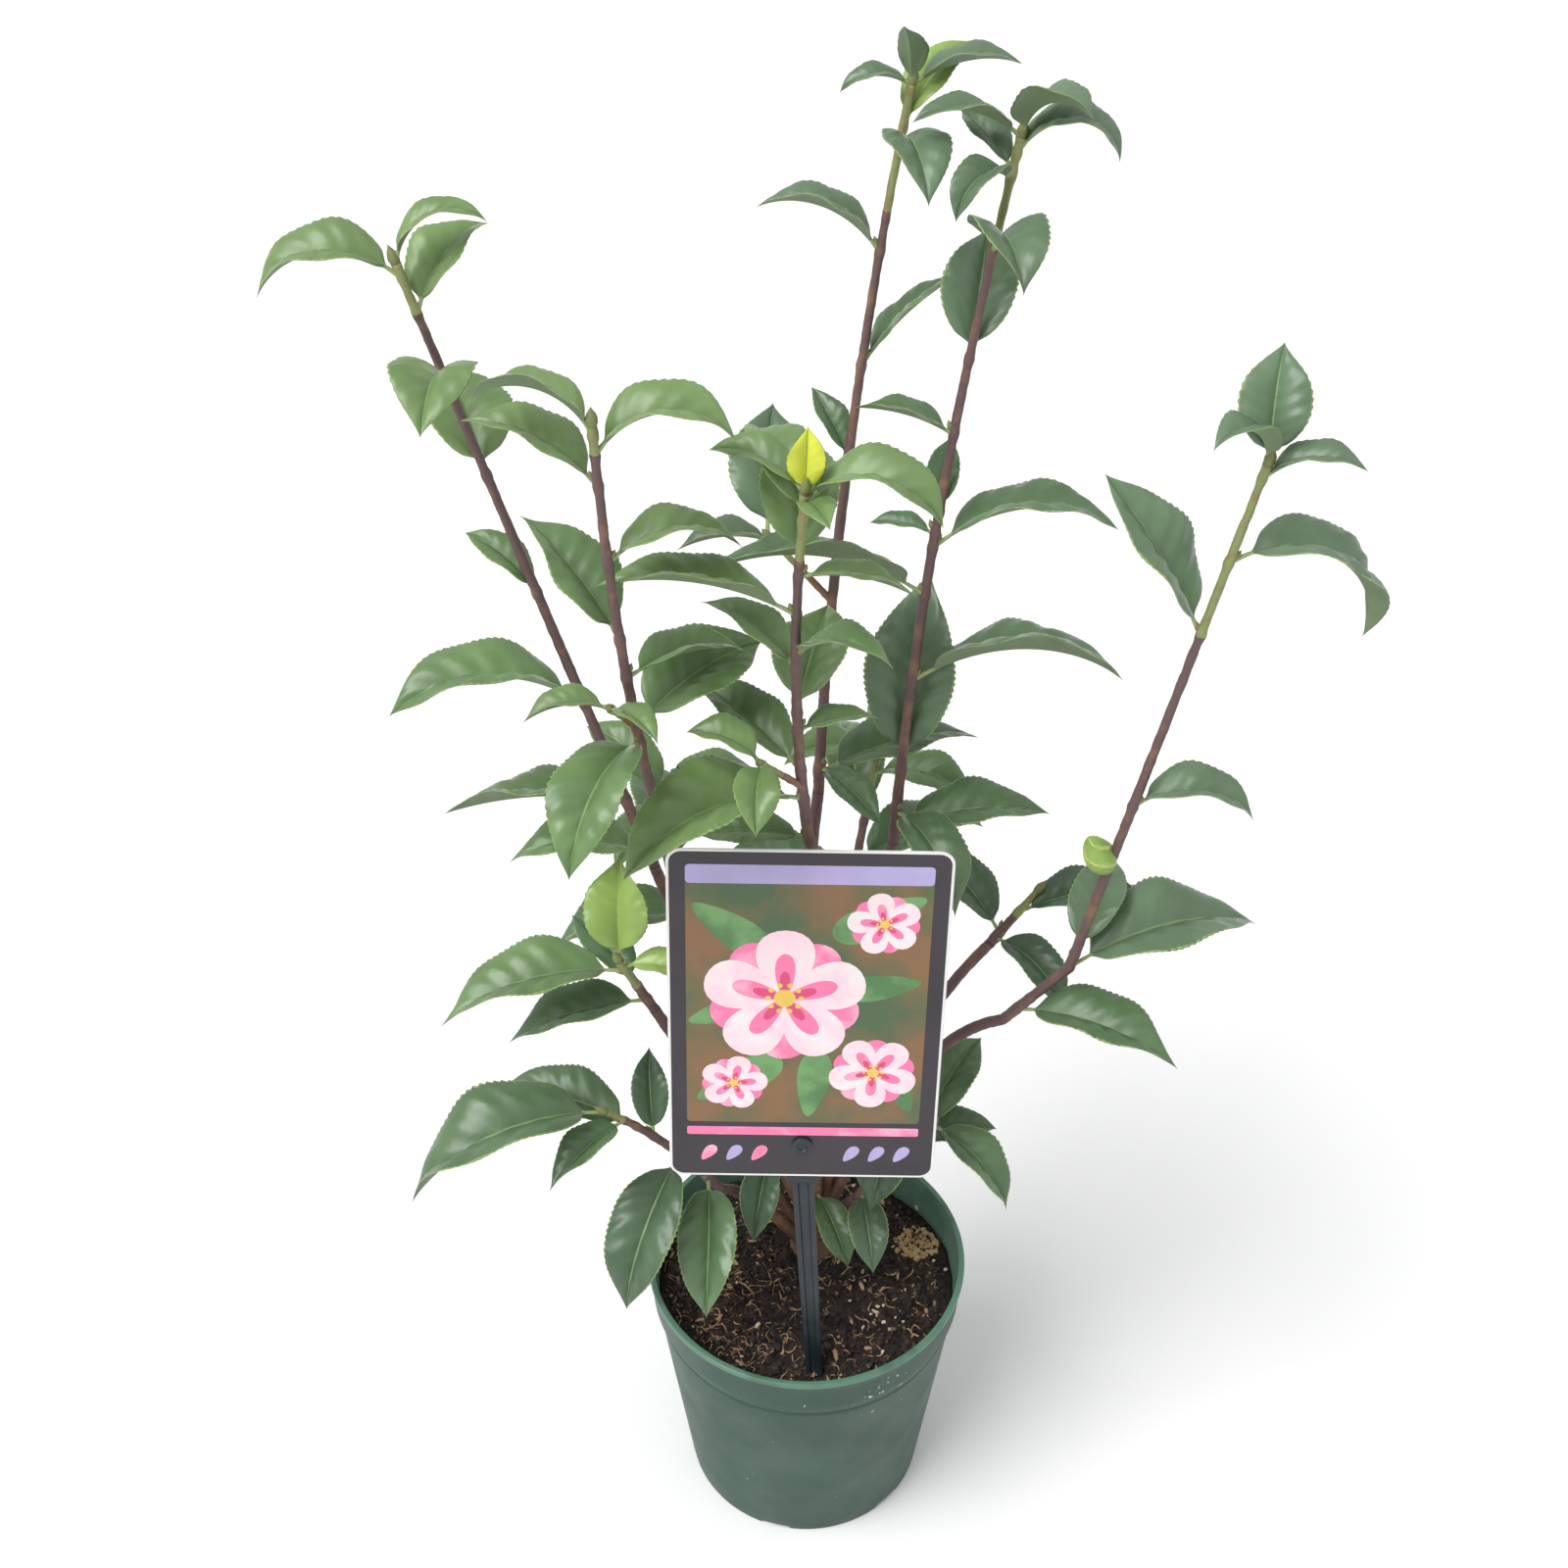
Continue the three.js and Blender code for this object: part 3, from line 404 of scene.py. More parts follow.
@functools.lru_cache(maxsize=1)
def grow():
    """Every limb by name, and every leaf that finds room, the first listed first. A leaf in the way
    of a limb, the pot, the label or an earlier leaf tries the next turn."""
    limbs, wanted = {}, []
    for name, shoot in SHOOTS.items():
        stem = {**shoot["stem"], "from": shoot["bough"]["to"]}
        limbs["bough_" + name] = {**shoot["bough"], "radii": BOUGH_RADII, "mass": ""}
        limbs[name] = {**stem, "radii": STEM_RADII, "mass": name}
        wanted += [(row, name, i) for i, row in enumerate(shoot["leaves"])]
        for number, twig in enumerate(shoot.get("twigs", ())):
            start = limb_point(stem, twig["at"])[0]
            end = start + unit(twig["heading"], twig["rise"]) * twig["length"]
            twig_name = f"{name}_twig_{number}"
            limbs[twig_name] = {"from": start, "to": end, "radii": TWIG_RADII, "mass": name}
            wanted += [(row, twig_name, i) for i, row in enumerate(twig["leaves"])]
    for name, rows in LOW_LEAVES.items():
        wanted += [(row, name, i) for i, row in enumerate(rows)]
    t = np.linspace(0, 1, LIMB_SAMPLES + 1)
    skin = np.vstack([limb_point(limb, t) for limb in limbs.values()])
    radii = [limb["radii"] for limb in limbs.values()]
    skin_radius = np.concatenate([foot + (tip - foot) * t for foot, tip in radii])
    skin_owner = np.repeat(list(limbs), len(t))
    near_root = np.repeat(SAMPLE_STATIONS / MIDRIB_STEPS < ROOT_SHARE, len(SAMPLE_ACROSS))
    random, leaves = seeded(GROWTH_SEED), []
    kept, kept_limb, kept_mass = np.zeros((0, 3)), np.array([], str), np.array([], str)
    kept_root = np.zeros(0, bool)
    for row, limb, number in wanted:
        at, heading, length, rise, droop = row[:5]
        roll = row[5] if len(row) > 5 else 0
        aspect = row[6] if len(row) > 6 else LEAF_ASPECT
        sway = (next(random) * 2 - 1) * LEAF_SWAY
        fold = FOLD_RANGE[0] + next(random) * (FOLD_RANGE[1] - FOLD_RANGE[0])
        mass = limbs[limb]["mass"] or limb.removeprefix("bough_")
        root = limb_point(limbs[limb], at)[0]
        for turn in TURNS:
            leaf = dict(root=root, limb=limb, mass=mass, number=number, at=at, length=length)
            leaf.update(width=length * aspect, heading=heading + turn, rise=rise, droop=droop)
            leaf.update(roll=roll, sway=sway, fold=fold)
            points = leaf_samples(leaf)
            if in_pot_or_label(points).any():
                continue
            close = distances(points, skin) < skin_radius + LIMB_SPACING
            if (close & ~(near_root[:, None] & (skin_owner == limb))).any():
                continue
            room = np.where(kept_mass == mass, SISTER_SPACING, LEAF_SPACING)
            close = distances(points, kept) < room
            if (close & ~(near_root[:, None] & (kept_limb == limb) & kept_root)).any():
                continue
            leaves.append(leaf)
            kept = np.vstack([kept, points])
            kept_limb = np.append(kept_limb, [limb] * len(points))
            kept_mass = np.append(kept_mass, [mass] * len(points))
            kept_root = np.append(kept_root, near_root)
            break
    for leaf in leaves:
        for angle, change in NUDGES.get((leaf["limb"], leaf["number"]), {}).items():
            leaf[angle] += change
    return limbs, leaves


# ---- meshes -------------------------------------------------------------------------------------


def tube(rings):
    """A closed skin over rings of k points, each ring anticlockwise seen from the next: quads
    between the rings, and a fan to the middle of the first ring and of the last."""
    n, k = rings.shape[:2]
    row, side = np.meshgrid(np.arange(n - 1), np.arange(k), indexing="ij")
    a, b = row * k + side, row * k + (side + 1) % k
    quads = np.stack([a, b, b + k, a + k], -1).reshape(-1, 4)
    s = np.arange(k)
    t, last = (s + 1) % k, (n - 1) * k
    first_fan = np.stack([np.full(k, n * k), t, s], -1)
    last_fan = np.stack([np.full(k, n * k + 1), last + s, last + t], -1)
    points = np.vstack([rings.reshape(-1, 3), rings[0].mean(0), rings[-1].mean(0)])
    return points, quads, np.vstack([first_fan, last_fan])


class Pile:
    """Gathers the parts of one piece: points in millimetres, faces, and each face's finish."""

    def __init__(self):
        """An empty pile."""
        self.points, self.quads, self.tris = [], [np.zeros((0, 4), int)], [np.zeros((0, 3), int)]
        self.quad_kinds, self.tri_kinds, self.count = [], [], 0

    def add(self, points, quads, tris, kind=0, end_kind=None):
        """Adds one part. kind is one number, or one for each quad; its fans take end_kind."""
        self.points.append(points)
        self.quads.append(np.asarray(quads, int).reshape(-1, 4) + self.count)
        self.tris.append(np.asarray(tris, int).reshape(-1, 3) + self.count)
        self.quad_kinds.append(np.broadcast_to(kind, len(self.quads[-1])))
        fan_kind = (kind if np.ndim(kind) == 0 else kind[-1]) if end_kind is None else end_kind
        self.tri_kinds.append(np.broadcast_to(fan_kind, len(self.tris[-1])))
        self.count += len(points)


def put_mesh(name, pile, materials, nodes, smooth=True):
    """Makes the piece, at the origin, riding on the body and standing for its solids."""
    mesh = bpy.data.meshes.new(name)
    quads, tris = np.vstack(pile.quads), np.vstack(pile.tris)
    corners = np.concatenate([quads.ravel(), tris.ravel()])
    starts = np.concatenate([np.arange(len(quads)) * 4, len(quads) * 4 + np.arange(len(tris)) * 3])
    mesh.vertices.add(pile.count)
    mesh.vertices.foreach_set("co", (np.vstack(pile.points) * MM).ravel())
    mesh.loops.add(len(corners))
    mesh.loops.foreach_set("vertex_index", corners)
    mesh.polygons.add(len(starts))
    mesh.polygons.foreach_set("loop_start", starts)
    kinds = np.concatenate(pile.quad_kinds + pile.tri_kinds).astype(int)
    mesh.polygons.foreach_set("material_index", kinds)
    mesh.polygons.foreach_set("use_smooth", np.full(len(starts), smooth))
    for material in materials:
        mesh.materials.append(material)
    mesh.update(calc_edges=True)
    mesh.validate()
    piece = bpy.data.objects.new(name, mesh)
    bpy.context.scene.collection.objects.link(piece)
    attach(piece, "root")
    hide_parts(*nodes)


def rough(points, cell, seed):
    """Smooth noise from -1 to 1: a hashed value at each corner of a lattice of that cell, blended
    along each axis by w = f f (3 - 2 f), f being the place inside the cell."""
    place = points / cell
    corner = np.floor(place).astype(np.int64)
    f = place - corner
    w = f * f * (3 - 2 * f)
    total = np.zeros(points.shape[:-1])
    for step in np.ndindex(2, 2, 2):
        i = (corner + step) * np.array([73856093, 19349663, 83492791])
        n = (i[..., 0] ^ i[..., 1] ^ i[..., 2] ^ (seed * 265443)) & 0x7FFFFFFF
        n = ((n ^ (n >> 13)) * 1274126177) & 0x7FFFFFFF
        total += (n ^ (n >> 15)) / 0x7FFFFFFF * np.prod(np.where(step, w, 1 - w), -1)
    return total * 2 - 1


def across(path):
    """Unit vectors side = y x along and other = along x side, square to a path's own direction."""
    along = np.gradient(path, axis=0)
    along /= np.linalg.norm(along, axis=1, keepdims=True)
    side = np.cross([0.0, 1.0, 0.0], along)
    side /= np.linalg.norm(side, axis=1, keepdims=True)
    return side, np.cross(along, side)


def spokes(path, sides):
    """At each point of a path, side cos(a) + other sin(a) for equal angles a all round."""
    side, other = across(path)
    a = np.arange(sides) * 2 * np.pi / sides
    return side[:, None] * np.cos(a)[None, :, None] + other[:, None] * np.sin(a)[None, :, None]


def turned(profile, segments):
    """Rings (r cos a, r sin a, z) of a profile of radii and heights, all round the z axis."""
    a = np.arange(segments) * 2 * np.pi / segments
    r, z = np.array(profile, float).T[..., None]
    return np.stack([r * np.cos(a), r * np.sin(a), np.broadcast_to(z, (len(r), segments))], -1)


def normal(vector):
    """A vector over its own length."""
    return vector / np.linalg.norm(vector)


# ---- finishes -----------------------------------------------------------------------------------

DARKER = 0.94
PLAIN_PATCHES = (60, 0.4, 0.6)
COAT_ROUGHNESS = 0.3
SHEEN_LEVELS = (0.3, 0.7)
PATCH_DETAIL, GRAIN_DETAIL = 4, 6


def own_place(tree):
    """The piece's own coordinates, from one node that the whole finish shares."""
    node = next((n for n in tree.nodes if n.type == "TEX_COORD"), None)
    return (node or tree.nodes.new("ShaderNodeTexCoord")).outputs["Object"]


def noise(tree, scale, detail):
    """Noise over the piece's own coordinates."""
    made = tree.nodes.new("ShaderNodeTexNoise")
    made.inputs["Scale"].default_value = scale
    made.inputs["Detail"].default_value = detail
    tree.links.new(own_place(tree), made.inputs["Vector"])
    return made.outputs["Fac"]


def between(tree, value, low, high, to_low=0.0, to_high=1.0):
    """A value that goes evenly from to_low to to_high as another goes from low to high."""
    made = tree.nodes.new("ShaderNodeMapRange")
    ends = {"From Min": low, "From Max": high, "To Min": to_low, "To Max": to_high}
    for socket, number in ends.items():
        made.inputs[socket].default_value = number
    tree.links.new(value, made.inputs["Value"])
    return made.outputs["Result"]


def blend_colour(tree, share, second):
    """The base colour so far times 1 - share, plus a second colour times the share."""
    base = tree.nodes["Principled BSDF"].inputs["Base Color"]
    mix = tree.nodes.new("ShaderNodeMix")
    mix.data_type = "RGBA"
    mix.inputs["A"].default_value = base.default_value
    mix.inputs["B"].default_value = (*second, 1)
    if base.is_linked:
        tree.links.new(base.links[0].from_socket, mix.inputs["A"])
    tree.links.new(share, mix.inputs["Factor"])
    tree.links.new(mix.outputs["Result"], base)


def finish(name, colour, second, roughness, patches=PLAIN_PATCHES, grain=None, sheen=None, coat=0):
    """A finish of two colours by noise, the second a shade darker where it is None: patches is the
    noise's scale and the two levels between which it passes from one to the other. grain is a
    bump's scale, strength and depth in metres. sheen is how far the roughness wanders and its scale."""
    material = bpy.data.materials.new(name)
    material.use_nodes = True
    tree = material.node_tree
    shader = tree.nodes["Principled BSDF"]
    shader.inputs["Base Color"].default_value = (*colour, 1)
    shader.inputs["Roughness"].default_value = roughness
    shader.inputs["Coat Weight"].default_value = coat
    shader.inputs["Coat Roughness"].default_value = COAT_ROUGHNESS
    scale, first_level, second_level = patches
    share = between(tree, noise(tree, scale, PATCH_DETAIL), first_level, second_level)
    blend_colour(tree, share, [DARKER * c for c in colour] if second is None else second)
    if sheen:
        wander, wander_scale = sheen
        wide = noise(tree, wander_scale, PATCH_DETAIL)
        spread = between(tree, wide, *SHEEN_LEVELS, roughness - wander, roughness + wander)
        tree.links.new(spread, shader.inputs["Roughness"])
    if grain:
        grain_scale, strength, depth = grain
        bump = tree.nodes.new("ShaderNodeBump")
        bump.inputs["Strength"].default_value = strength
        bump.inputs["Distance"].default_value = depth
        tree.links.new(noise(tree, grain_scale, GRAIN_DETAIL), bump.inputs["Height"])
        tree.links.new(bump.outputs["Normal"], shader.inputs["Normal"])
    return material


def finishes(look, rows):
    """A finish for each row: its name, then its colour and second colour as the settings name
    them, then the rest as finish takes it."""
    made = []
    for name, colour, second, *rest in rows:
        made.append(finish(name, getattr(look, colour), second and getattr(look, second), *rest))
    return made


# ---- settings -----------------------------------------------------------------------------------


def length(name, description, mm):
    """A length property whose default is given in millimetres."""
    return FloatProperty(
        name=name, description=description, default=mm * MM, min=0, unit="LENGTH", precision=5
    )


def amount(name, description, value):
    """A property for a strength or brightness, from 0 up."""
    return FloatProperty(name=name, description=description, default=value, min=0)


def count(name, description, value):
    """A property for a number of things, from 0 up."""
    return IntProperty(name=name, description=description, default=value, min=0)


def colour(name, description, value):
    """A colour property."""
    return FloatVectorProperty(
        name=name, description=description, default=value, subtype="COLOR", size=3, min=0, max=1
    )


class CamelliaLeafSettings(bpy.types.PropertyGroup):
    """Sizes and colours of the leaves"""

    thickness: length("Thickness", "Thickness of a blade beside its midrib", 0.7)
    tooth_spacing: length("Tooth spacing", "Distance between teeth along the margin", 2.8)
    tooth_depth: FloatProperty(
        name="Tooth depth", description="Depth of a tooth over half the width",
        default=0.045, min=0, max=0.3,
    )
    pillow: length("Pillow", "Height of the swellings between the side veins", 0.6)
    twist: FloatProperty(
        name="Twist", description="How far a blade may turn about its midrib by its tip",
        default=0.6, min=0, subtype="ANGLE",
    )
    # Deep and shaded are painted shade: the leaf's green darkened for leaves low in the crown and
    # towards the right and back.
    deep: colour("Deep", "Old leaves in the lower crown", (0.057, 0.102, 0.052))
    shaded: colour("Shaded", "Old leaves", (0.076, 0.136, 0.058))
    # Cool is the leaf's green greyed by a painted sky reflection, for the right and tall shoots.
    cool: colour("Cool", "Leaves of the right and tall shoots", (0.096, 0.155, 0.084))
    mid: colour("Mid", "Full grown leaves", (0.11, 0.185, 0.068))
    fresh: colour("Fresh", "Leaves near the tips", (0.135, 0.215, 0.074))
    young: colour("Young", "Youngest leaves", (0.22, 0.33, 0.075))
    yellow: colour("Yellow", "The one yellow leaf", (0.5, 0.54, 0.04))
    underside: colour("Underside", "Lower face of every leaf", (0.16, 0.22, 0.12))
    rib: colour("Midrib", "Midrib", (0.18, 0.265, 0.115))
    margin: colour("Margin", "Toothed edge", (0.24, 0.34, 0.12))
    stalk: colour("Stalk", "Leaf stalk", (0.27, 0.35, 0.14))


class CamelliaBarkSettings(bpy.types.PropertyGroup):
    """Relief and colours of the stem, boughs and twigs"""

    relief: length("Relief", "Height of the bark's ridges", 0.22)
    node_swell: length("Node swelling", "How far a stem swells where a leaf joins it", 0.9)
    old: colour("Old bark", "Short stem and the boughs' feet", (0.16, 0.085, 0.05))
    purple: colour("Purple bark", "Leafy stems", (0.115, 0.066, 0.063))
    orange: colour("Orange bark", "Bark near the forks", (0.24, 0.125, 0.065))
    green: colour("Green bark", "Youngest stem tips", (0.22, 0.25, 0.09))
    bud: colour("Bud", "Leaf buds", (0.17, 0.2, 0.07))
    flower_bud: colour("Flower bud", "Closed flower bud", (0.19, 0.31, 0.06))
    sepal_rim: colour("Sepal rim", "Rims of the bud's sepals", (0.42, 0.5, 0.13))


class CamelliaPotSettings(bpy.types.PropertyGroup):
    """Colours of the nursery pot"""

    plastic: colour("Plastic", "Wall of the pot", (0.019, 0.058, 0.039))
    worn: colour("Worn plastic", "Paler patches", (0.028, 0.076, 0.052))
    lip: colour("Lip", "Lip of the rim", (0.08, 0.18, 0.118))
    # Inside is paler than the plastic: painted light, for light that glows through the thin wall.
    inside: colour("Inside", "Inner wall above the soil", (0.13, 0.23, 0.17))
    scuff: colour("Scuff", "Chalky specks", (0.55, 0.6, 0.56))


class CamelliaSoilSettings(bpy.types.PropertyGroup):
    """Relief, litter and colours of the soil"""

    relief: length("Relief", "Height of the lumps", 2.5)
    crumbs: count("Crumbs", "Number of peat crumbs", 2700)
    fibres: count("Fibres", "Number of loose fibres", 420)
    chips: count("Chips", "Number of wood chips", 90)
    peat: colour("Peat", "Damp peat", (0.008, 0.006, 0.005))
    crumb: colour("Crumb", "Drier crumbs", (0.034, 0.021, 0.015))
    fibre: colour("Fibre", "Fibres", (0.4, 0.28, 0.165))
    chip: colour("Chip", "Wood chips", (0.36, 0.19, 0.1))
    moss: colour("Moss", "Mossy patch", (0.42, 0.31, 0.14))
    pale: colour("Pale bits", "Granules and pale chips", (0.6, 0.5, 0.34))


class CamelliaLabelSettings(bpy.types.PropertyGroup):
    """Colours of the plant label"""

    edge: colour("Edge", "White rim of the card", (0.75, 0.73, 0.72))
    frame: colour("Frame", "Dark ground of the card", (0.028, 0.021, 0.03))
    frame_dark: colour("Dark frame", "Darker patches of the ground", (0.017, 0.012, 0.018))
    pink: colour("Pink", "Strip and petals", (0.82, 0.17, 0.35))
    pale: colour("Pale pink", "Petal rims", (0.86, 0.58, 0.66))
    lilac: colour("Lilac", "Strip", (0.41, 0.35, 0.6))
    ground_green: colour("Ground green", "Blurred ground of the picture", (0.05, 0.1, 0.035))
    ground_brown: colour("Ground brown", "Blurred ground of the picture", (0.2, 0.1, 0.035))
    leaf: colour("Printed leaf", "Leaves of the picture", (0.06, 0.17, 0.05))
    leaf_light: colour("Light printed leaf", "Lighter patches of the leaves", (0.14, 0.3, 0.1))
    yellow: colour("Yellow", "Middles of the blossoms", (0.75, 0.5, 0.08))
    deep_pink: colour("Deep pink", "Streaks of the petals", (0.62, 0.05, 0.16))
    pin: colour("Pin", "Pin and stud", (0.01, 0.017, 0.021))
    pin_worn: colour("Worn pin", "Paler patches of the pin", (0.024, 0.032, 0.038))


class CamelliaStageSettings(bpy.types.PropertyGroup):
    """Floor and lights"""

    floor: colour("Floor", "Plain floor", (0.82, 0.82, 0.81))
    key: amount("Key light", "Strength of the light from the left", 2.8)
    fill: amount("Fill light", "Strength of the light from the right", 0.2)
    sky: amount("Surroundings", "Light from the surroundings", 0.7)
    backdrop: amount("Backdrop", "Brightness of the backdrop", 1.1)


# ---- leaves -------------------------------------------------------------------------------------

# Places across a blade as shares of half its width, over the top and then back below.
HALF_ACROSS = np.array([1, 0.955, 0.84, 0.66, 0.48, 0.28, 0.12, 0.03])
TOP = np.concatenate([HALF_ACROSS, [0], -HALF_ACROSS[::-1]])
UNDER = np.array([-0.84, -0.4, -0.03, 0, 0.03, 0.4, 0.84])
RIB_COLUMNS = (7, 8, 19, 20)
ROWS_PER_TOOTH = 3
TEETH_LIMITS = (10, 36)
MARGIN_FROM, MARGIN_WIDTH = 0.8, 0.2
FULLNESS = 0.55
HUMP = 0.13
SIDE_VEINS = 7
VEIN_SLANT = 1.3
VEIN_WANDER = 0.08
VEIN_CREST = 0.35
FULL_PILLOW_LENGTH = 90
MARGIN_WAVE = 0.075
MARGIN_WAVES = 2.3
RIB_REACH = 0.07
RIB_GROOVE = 0.22
RIB_KEEL = 0.5
EDGE_THINNING = 0.5
TIP_THINNING = 0.8
TWIST_SPREAD = 7
STALK_FOOT, STALK_TAPER = 1.15, 0.3
STALK_ENDS, BLADE_AFTER = 0.75, 0.8
STALK_FACES = 1.15
TIP_LEAVES = 0.66


def leaf_rings(leaf, look):
    """One leaf as rings of points at shares a across it, over the top and back below.

    A point is midrib + side a h cos(fold) + up z. h is the rule's half width, fuller past the
    middle with the power 0.72 + 0.55 u^2, and carries saw teeth at the margin. z = |a| h sin(fold)
    + 0.13 h sin(pi |a|), less a ripple cos 2 pi (7 u - 1.3 |a|) for the side veins, lower on a
    short leaf, plus a wave of the margin, less a groove at the midrib above and a keel below, and
    half the thickness up or down. The roll grows by a leaf's own share of the twist times s^3.
    Over the stalk the section passes to a circle."""
    teeth = int(np.clip(round(leaf["length"] * MM / look.tooth_spacing), *TEETH_LIMITS))
    rows = ROWS_PER_TOOTH * teeth
    s = np.linspace(0, 1, rows + 1)
    u = np.clip((s - PETIOLE) / (1 - PETIOLE), 0, 1)[:, None]
    a = np.concatenate([TOP, UNDER])[None]
    face = np.concatenate([np.ones(len(TOP)), -np.ones(len(UNDER))])[None]
    face = np.where(np.abs(a) == 1, 0, face)
    own_share = np.sin(TWIST_SPREAD * leaf["heading"] + leaf["length"])
    twist = np.degrees(look.twist) * own_share * s[:, None] ** 3
    spine = midrib(leaf, rows)[:, None]
    side, up = (v[:, None] for v in leaf_axes({**leaf, "roll": leaf["roll"] + twist}, s))

    fine = np.clip(np.sin(np.pi * u**0.82), 0, 1) ** (0.72 + FULLNESS * u * u)
    half = np.where(u < 0.5, blade_half(leaf, s)[:, None], leaf["width"] / 2 * fine)
    saw = (np.arange(rows + 1) % ROWS_PER_TOOTH / 2 - 0.5)[:, None]
    margin = np.clip((np.abs(a) - MARGIN_FROM) / MARGIN_WIDTH, 0, 1)
    reach = half * (1 + look.tooth_depth * saw * margin * np.sin(np.pi * u))

    fold = np.radians(leaf["fold"])
    hump = np.sin(np.pi * np.abs(a))
    lift = np.abs(a) * reach * np.sin(fold) + HUMP * half * hump
    wander = VEIN_WANDER * np.sin(leaf["heading"] + 9 * u)
    veins = np.cos(2 * np.pi * (SIDE_VEINS * u - VEIN_SLANT * np.abs(a) + wander))
    veins += VEIN_CREST * veins**2 * np.sign(veins)
    pillow = look.pillow / MM * min(1, leaf["length"] / FULL_PILLOW_LENGTH) ** 1.5
    lift -= pillow * veins * hump**0.5 * np.sin(np.pi * u)
    wave = np.sin(2 * np.pi * MARGIN_WAVES * u + leaf["fold"] + 0.9 * np.sign(a))
    lift += MARGIN_WAVE * half * wave * a**2
    thick = look.thickness / MM / 2 * (1 - EDGE_THINNING * np.abs(a)) * (1 - TIP_THINNING * u**6)
    lift += face * thick
    inner = np.exp(-((a / RIB_REACH) ** 2))
    lift -= np.where(face > 0, RIB_GROOVE, RIB_KEEL * (1 - u)) * inner
    blade = spine + side * (a * reach * np.cos(fold))[..., None] + up * lift[..., None]

    stalk = STALK_RADIUS * (STALK_FOOT - STALK_TAPER * np.clip(s / PETIOLE, 0, 1))[:, None]
    round_lift = face * stalk * np.sqrt(np.maximum(0, 1 - a**2))
    round_part = spine + side * (a * stalk)[..., None] + up * round_lift[..., None]
    share = np.clip((s / PETIOLE - STALK_ENDS) / BLADE_AFTER, 0, 1)[:, None, None]
    share = share * share * (3 - 2 * share)
    return round_part * (1 - share) + blade * share, s


def leaf_kinds(tone, s):
    """The finish of each face: the leaf's tone above, then underside, midrib, margin and stalk. A
    young leaf's midrib is as pale as its stalk."""
    under, rib, margin, stalk = (len(TONES) + i for i in range(4))
    columns = np.full(len(TOP) + len(UNDER), under)
    columns[: len(TOP) - 1] = tone
    columns[[0, len(TOP) - 2]] = margin
    columns[list(RIB_COLUMNS)] = stalk if tone >= TONES.index("young") else rib
    kinds = np.tile(columns, (len(s) - 1, 1))
    kinds[s[1:] < PETIOLE * STALK_FACES] = stalk
    return kinds.ravel()


def tone_of(leaf):
    """A leaf's tone: its own if it has one, else its shoot's tip or lower tone by its place."""
    odd = ODD_TONES.get((leaf["limb"], leaf["number"]))
    tip, low = SHOOT_TONES[leaf["mass"]][:2]
    return TONES.index(odd or (tip if leaf["at"] > TIP_LEAVES else low))


LIGHTER = 1.4
LEATHER = dict(
    roughness=0.38, patches=(38, 0.42, 0.75), grain=(650, 0.16, 0.0004), sheen=(0.08, 55), coat=0.1
)
LEAF_PARTS = (
    ("leaf_underside", "underside", None, 0.6, PLAIN_PATCHES, (900, 0.2, 0.0003)),
    ("leaf_midrib", "rib", None, 0.45, PLAIN_PATCHES, (600, 0.1, 0.0002)),
    ("leaf_margin", "margin", None, 0.42, PLAIN_PATCHES, (600, 0.1, 0.0002)),
    ("leaf_stalk", "stalk", None, 0.45, PLAIN_PATCHES, (600, 0.1, 0.0002)),
)


class CAMELLIA_OT_grow_leaves(bpy.types.Operator):
    """Grow every leaf by the growth rule and join them into four pieces"""

    bl_idname = "camellia.grow_leaves"
    bl_label = "Grow Leaves"

    def execute(self, context):
        look = context.scene.camellia_leaves
        tones = [
            finish(f"leaf_{tone}", base, [LIGHTER * c for c in base], **LEATHER)
            for tone, base in ((tone, getattr(look, tone)) for tone in TONES)
        ]
        parts = tones + finishes(look, LEAF_PARTS)
        for name, shoots in LEAF_PIECES.items():
            pile = Pile()
            for leaf in (m for m in grow()[1] if m["mass"] in shoots):
                rings, s = leaf_rings(leaf, look)
                points, quads, tris = tube(rings)
                pile.add(points, quads, tris, leaf_kinds(tone_of(leaf), s), len(TONES) + 1)
            if not pile.count:
                raise RuntimeError(f"{name} has no leaves")
            put_mesh(name, pile, parts, [f"foliage_{shoot}" for shoot in shoots])
        return {"FINISHED"}


# ---- wood ---------------------------------------------------------------------------------------

OLD, PURPLE, ORANGE, GREEN = range(4)
BARKS = (
    ("bark_old", "old", "orange", 0.82, (140, 0.45, 0.7), (500, 0.5, 0.0006)),
    ("bark_purple", "purple", "orange", 0.62, (90, 0.52, 0.78), (700, 0.3, 0.0004)),
    ("bark_orange", "orange", "old", 0.7, (160, 0.45, 0.7), (600, 0.4, 0.0005)),
    ("bark_green", "green", "orange", 0.55, (120, 0.5, 0.8), (700, 0.2, 0.0003)),
)
# Shares of a bough up to which its bark is old, then orange, and of a twig up to which it is orange.
OLD_UNTIL, ORANGE_UNTIL, TWIG_ORANGE_UNTIL = 0.22, 0.4, 0.5
# Bark relief: how far its heights are squeezed, the coarse and the fine cell, and their seeds.
LIMB_BARK = (0.22, 1.3, 0.9, (5, 9))
TRUNK_BARK = (0.3, 3.2, 1.6, (2, 3))
LIMB_ROW_SPACING, LIMB_SIDES, LEAST_ROWS = 1.6, 14, 8
NODE_REACH = 2.2
TRUNK_ROWS, TRUNK_SIDES = 40, 40
TRUNK_BURIED = 3
TRUNK_RELIEF = 2.2


def ridges(points, stretch, coarse, fine, seeds):
    """Noise with its heights squeezed, so that it runs along the wood, plus half as much finer
    noise, each with a cell in millimetres and a seed."""
    first, second = seeds
    return rough(points * [1, 1, stretch], coarse, first) + 0.5 * rough(points, fine, second)


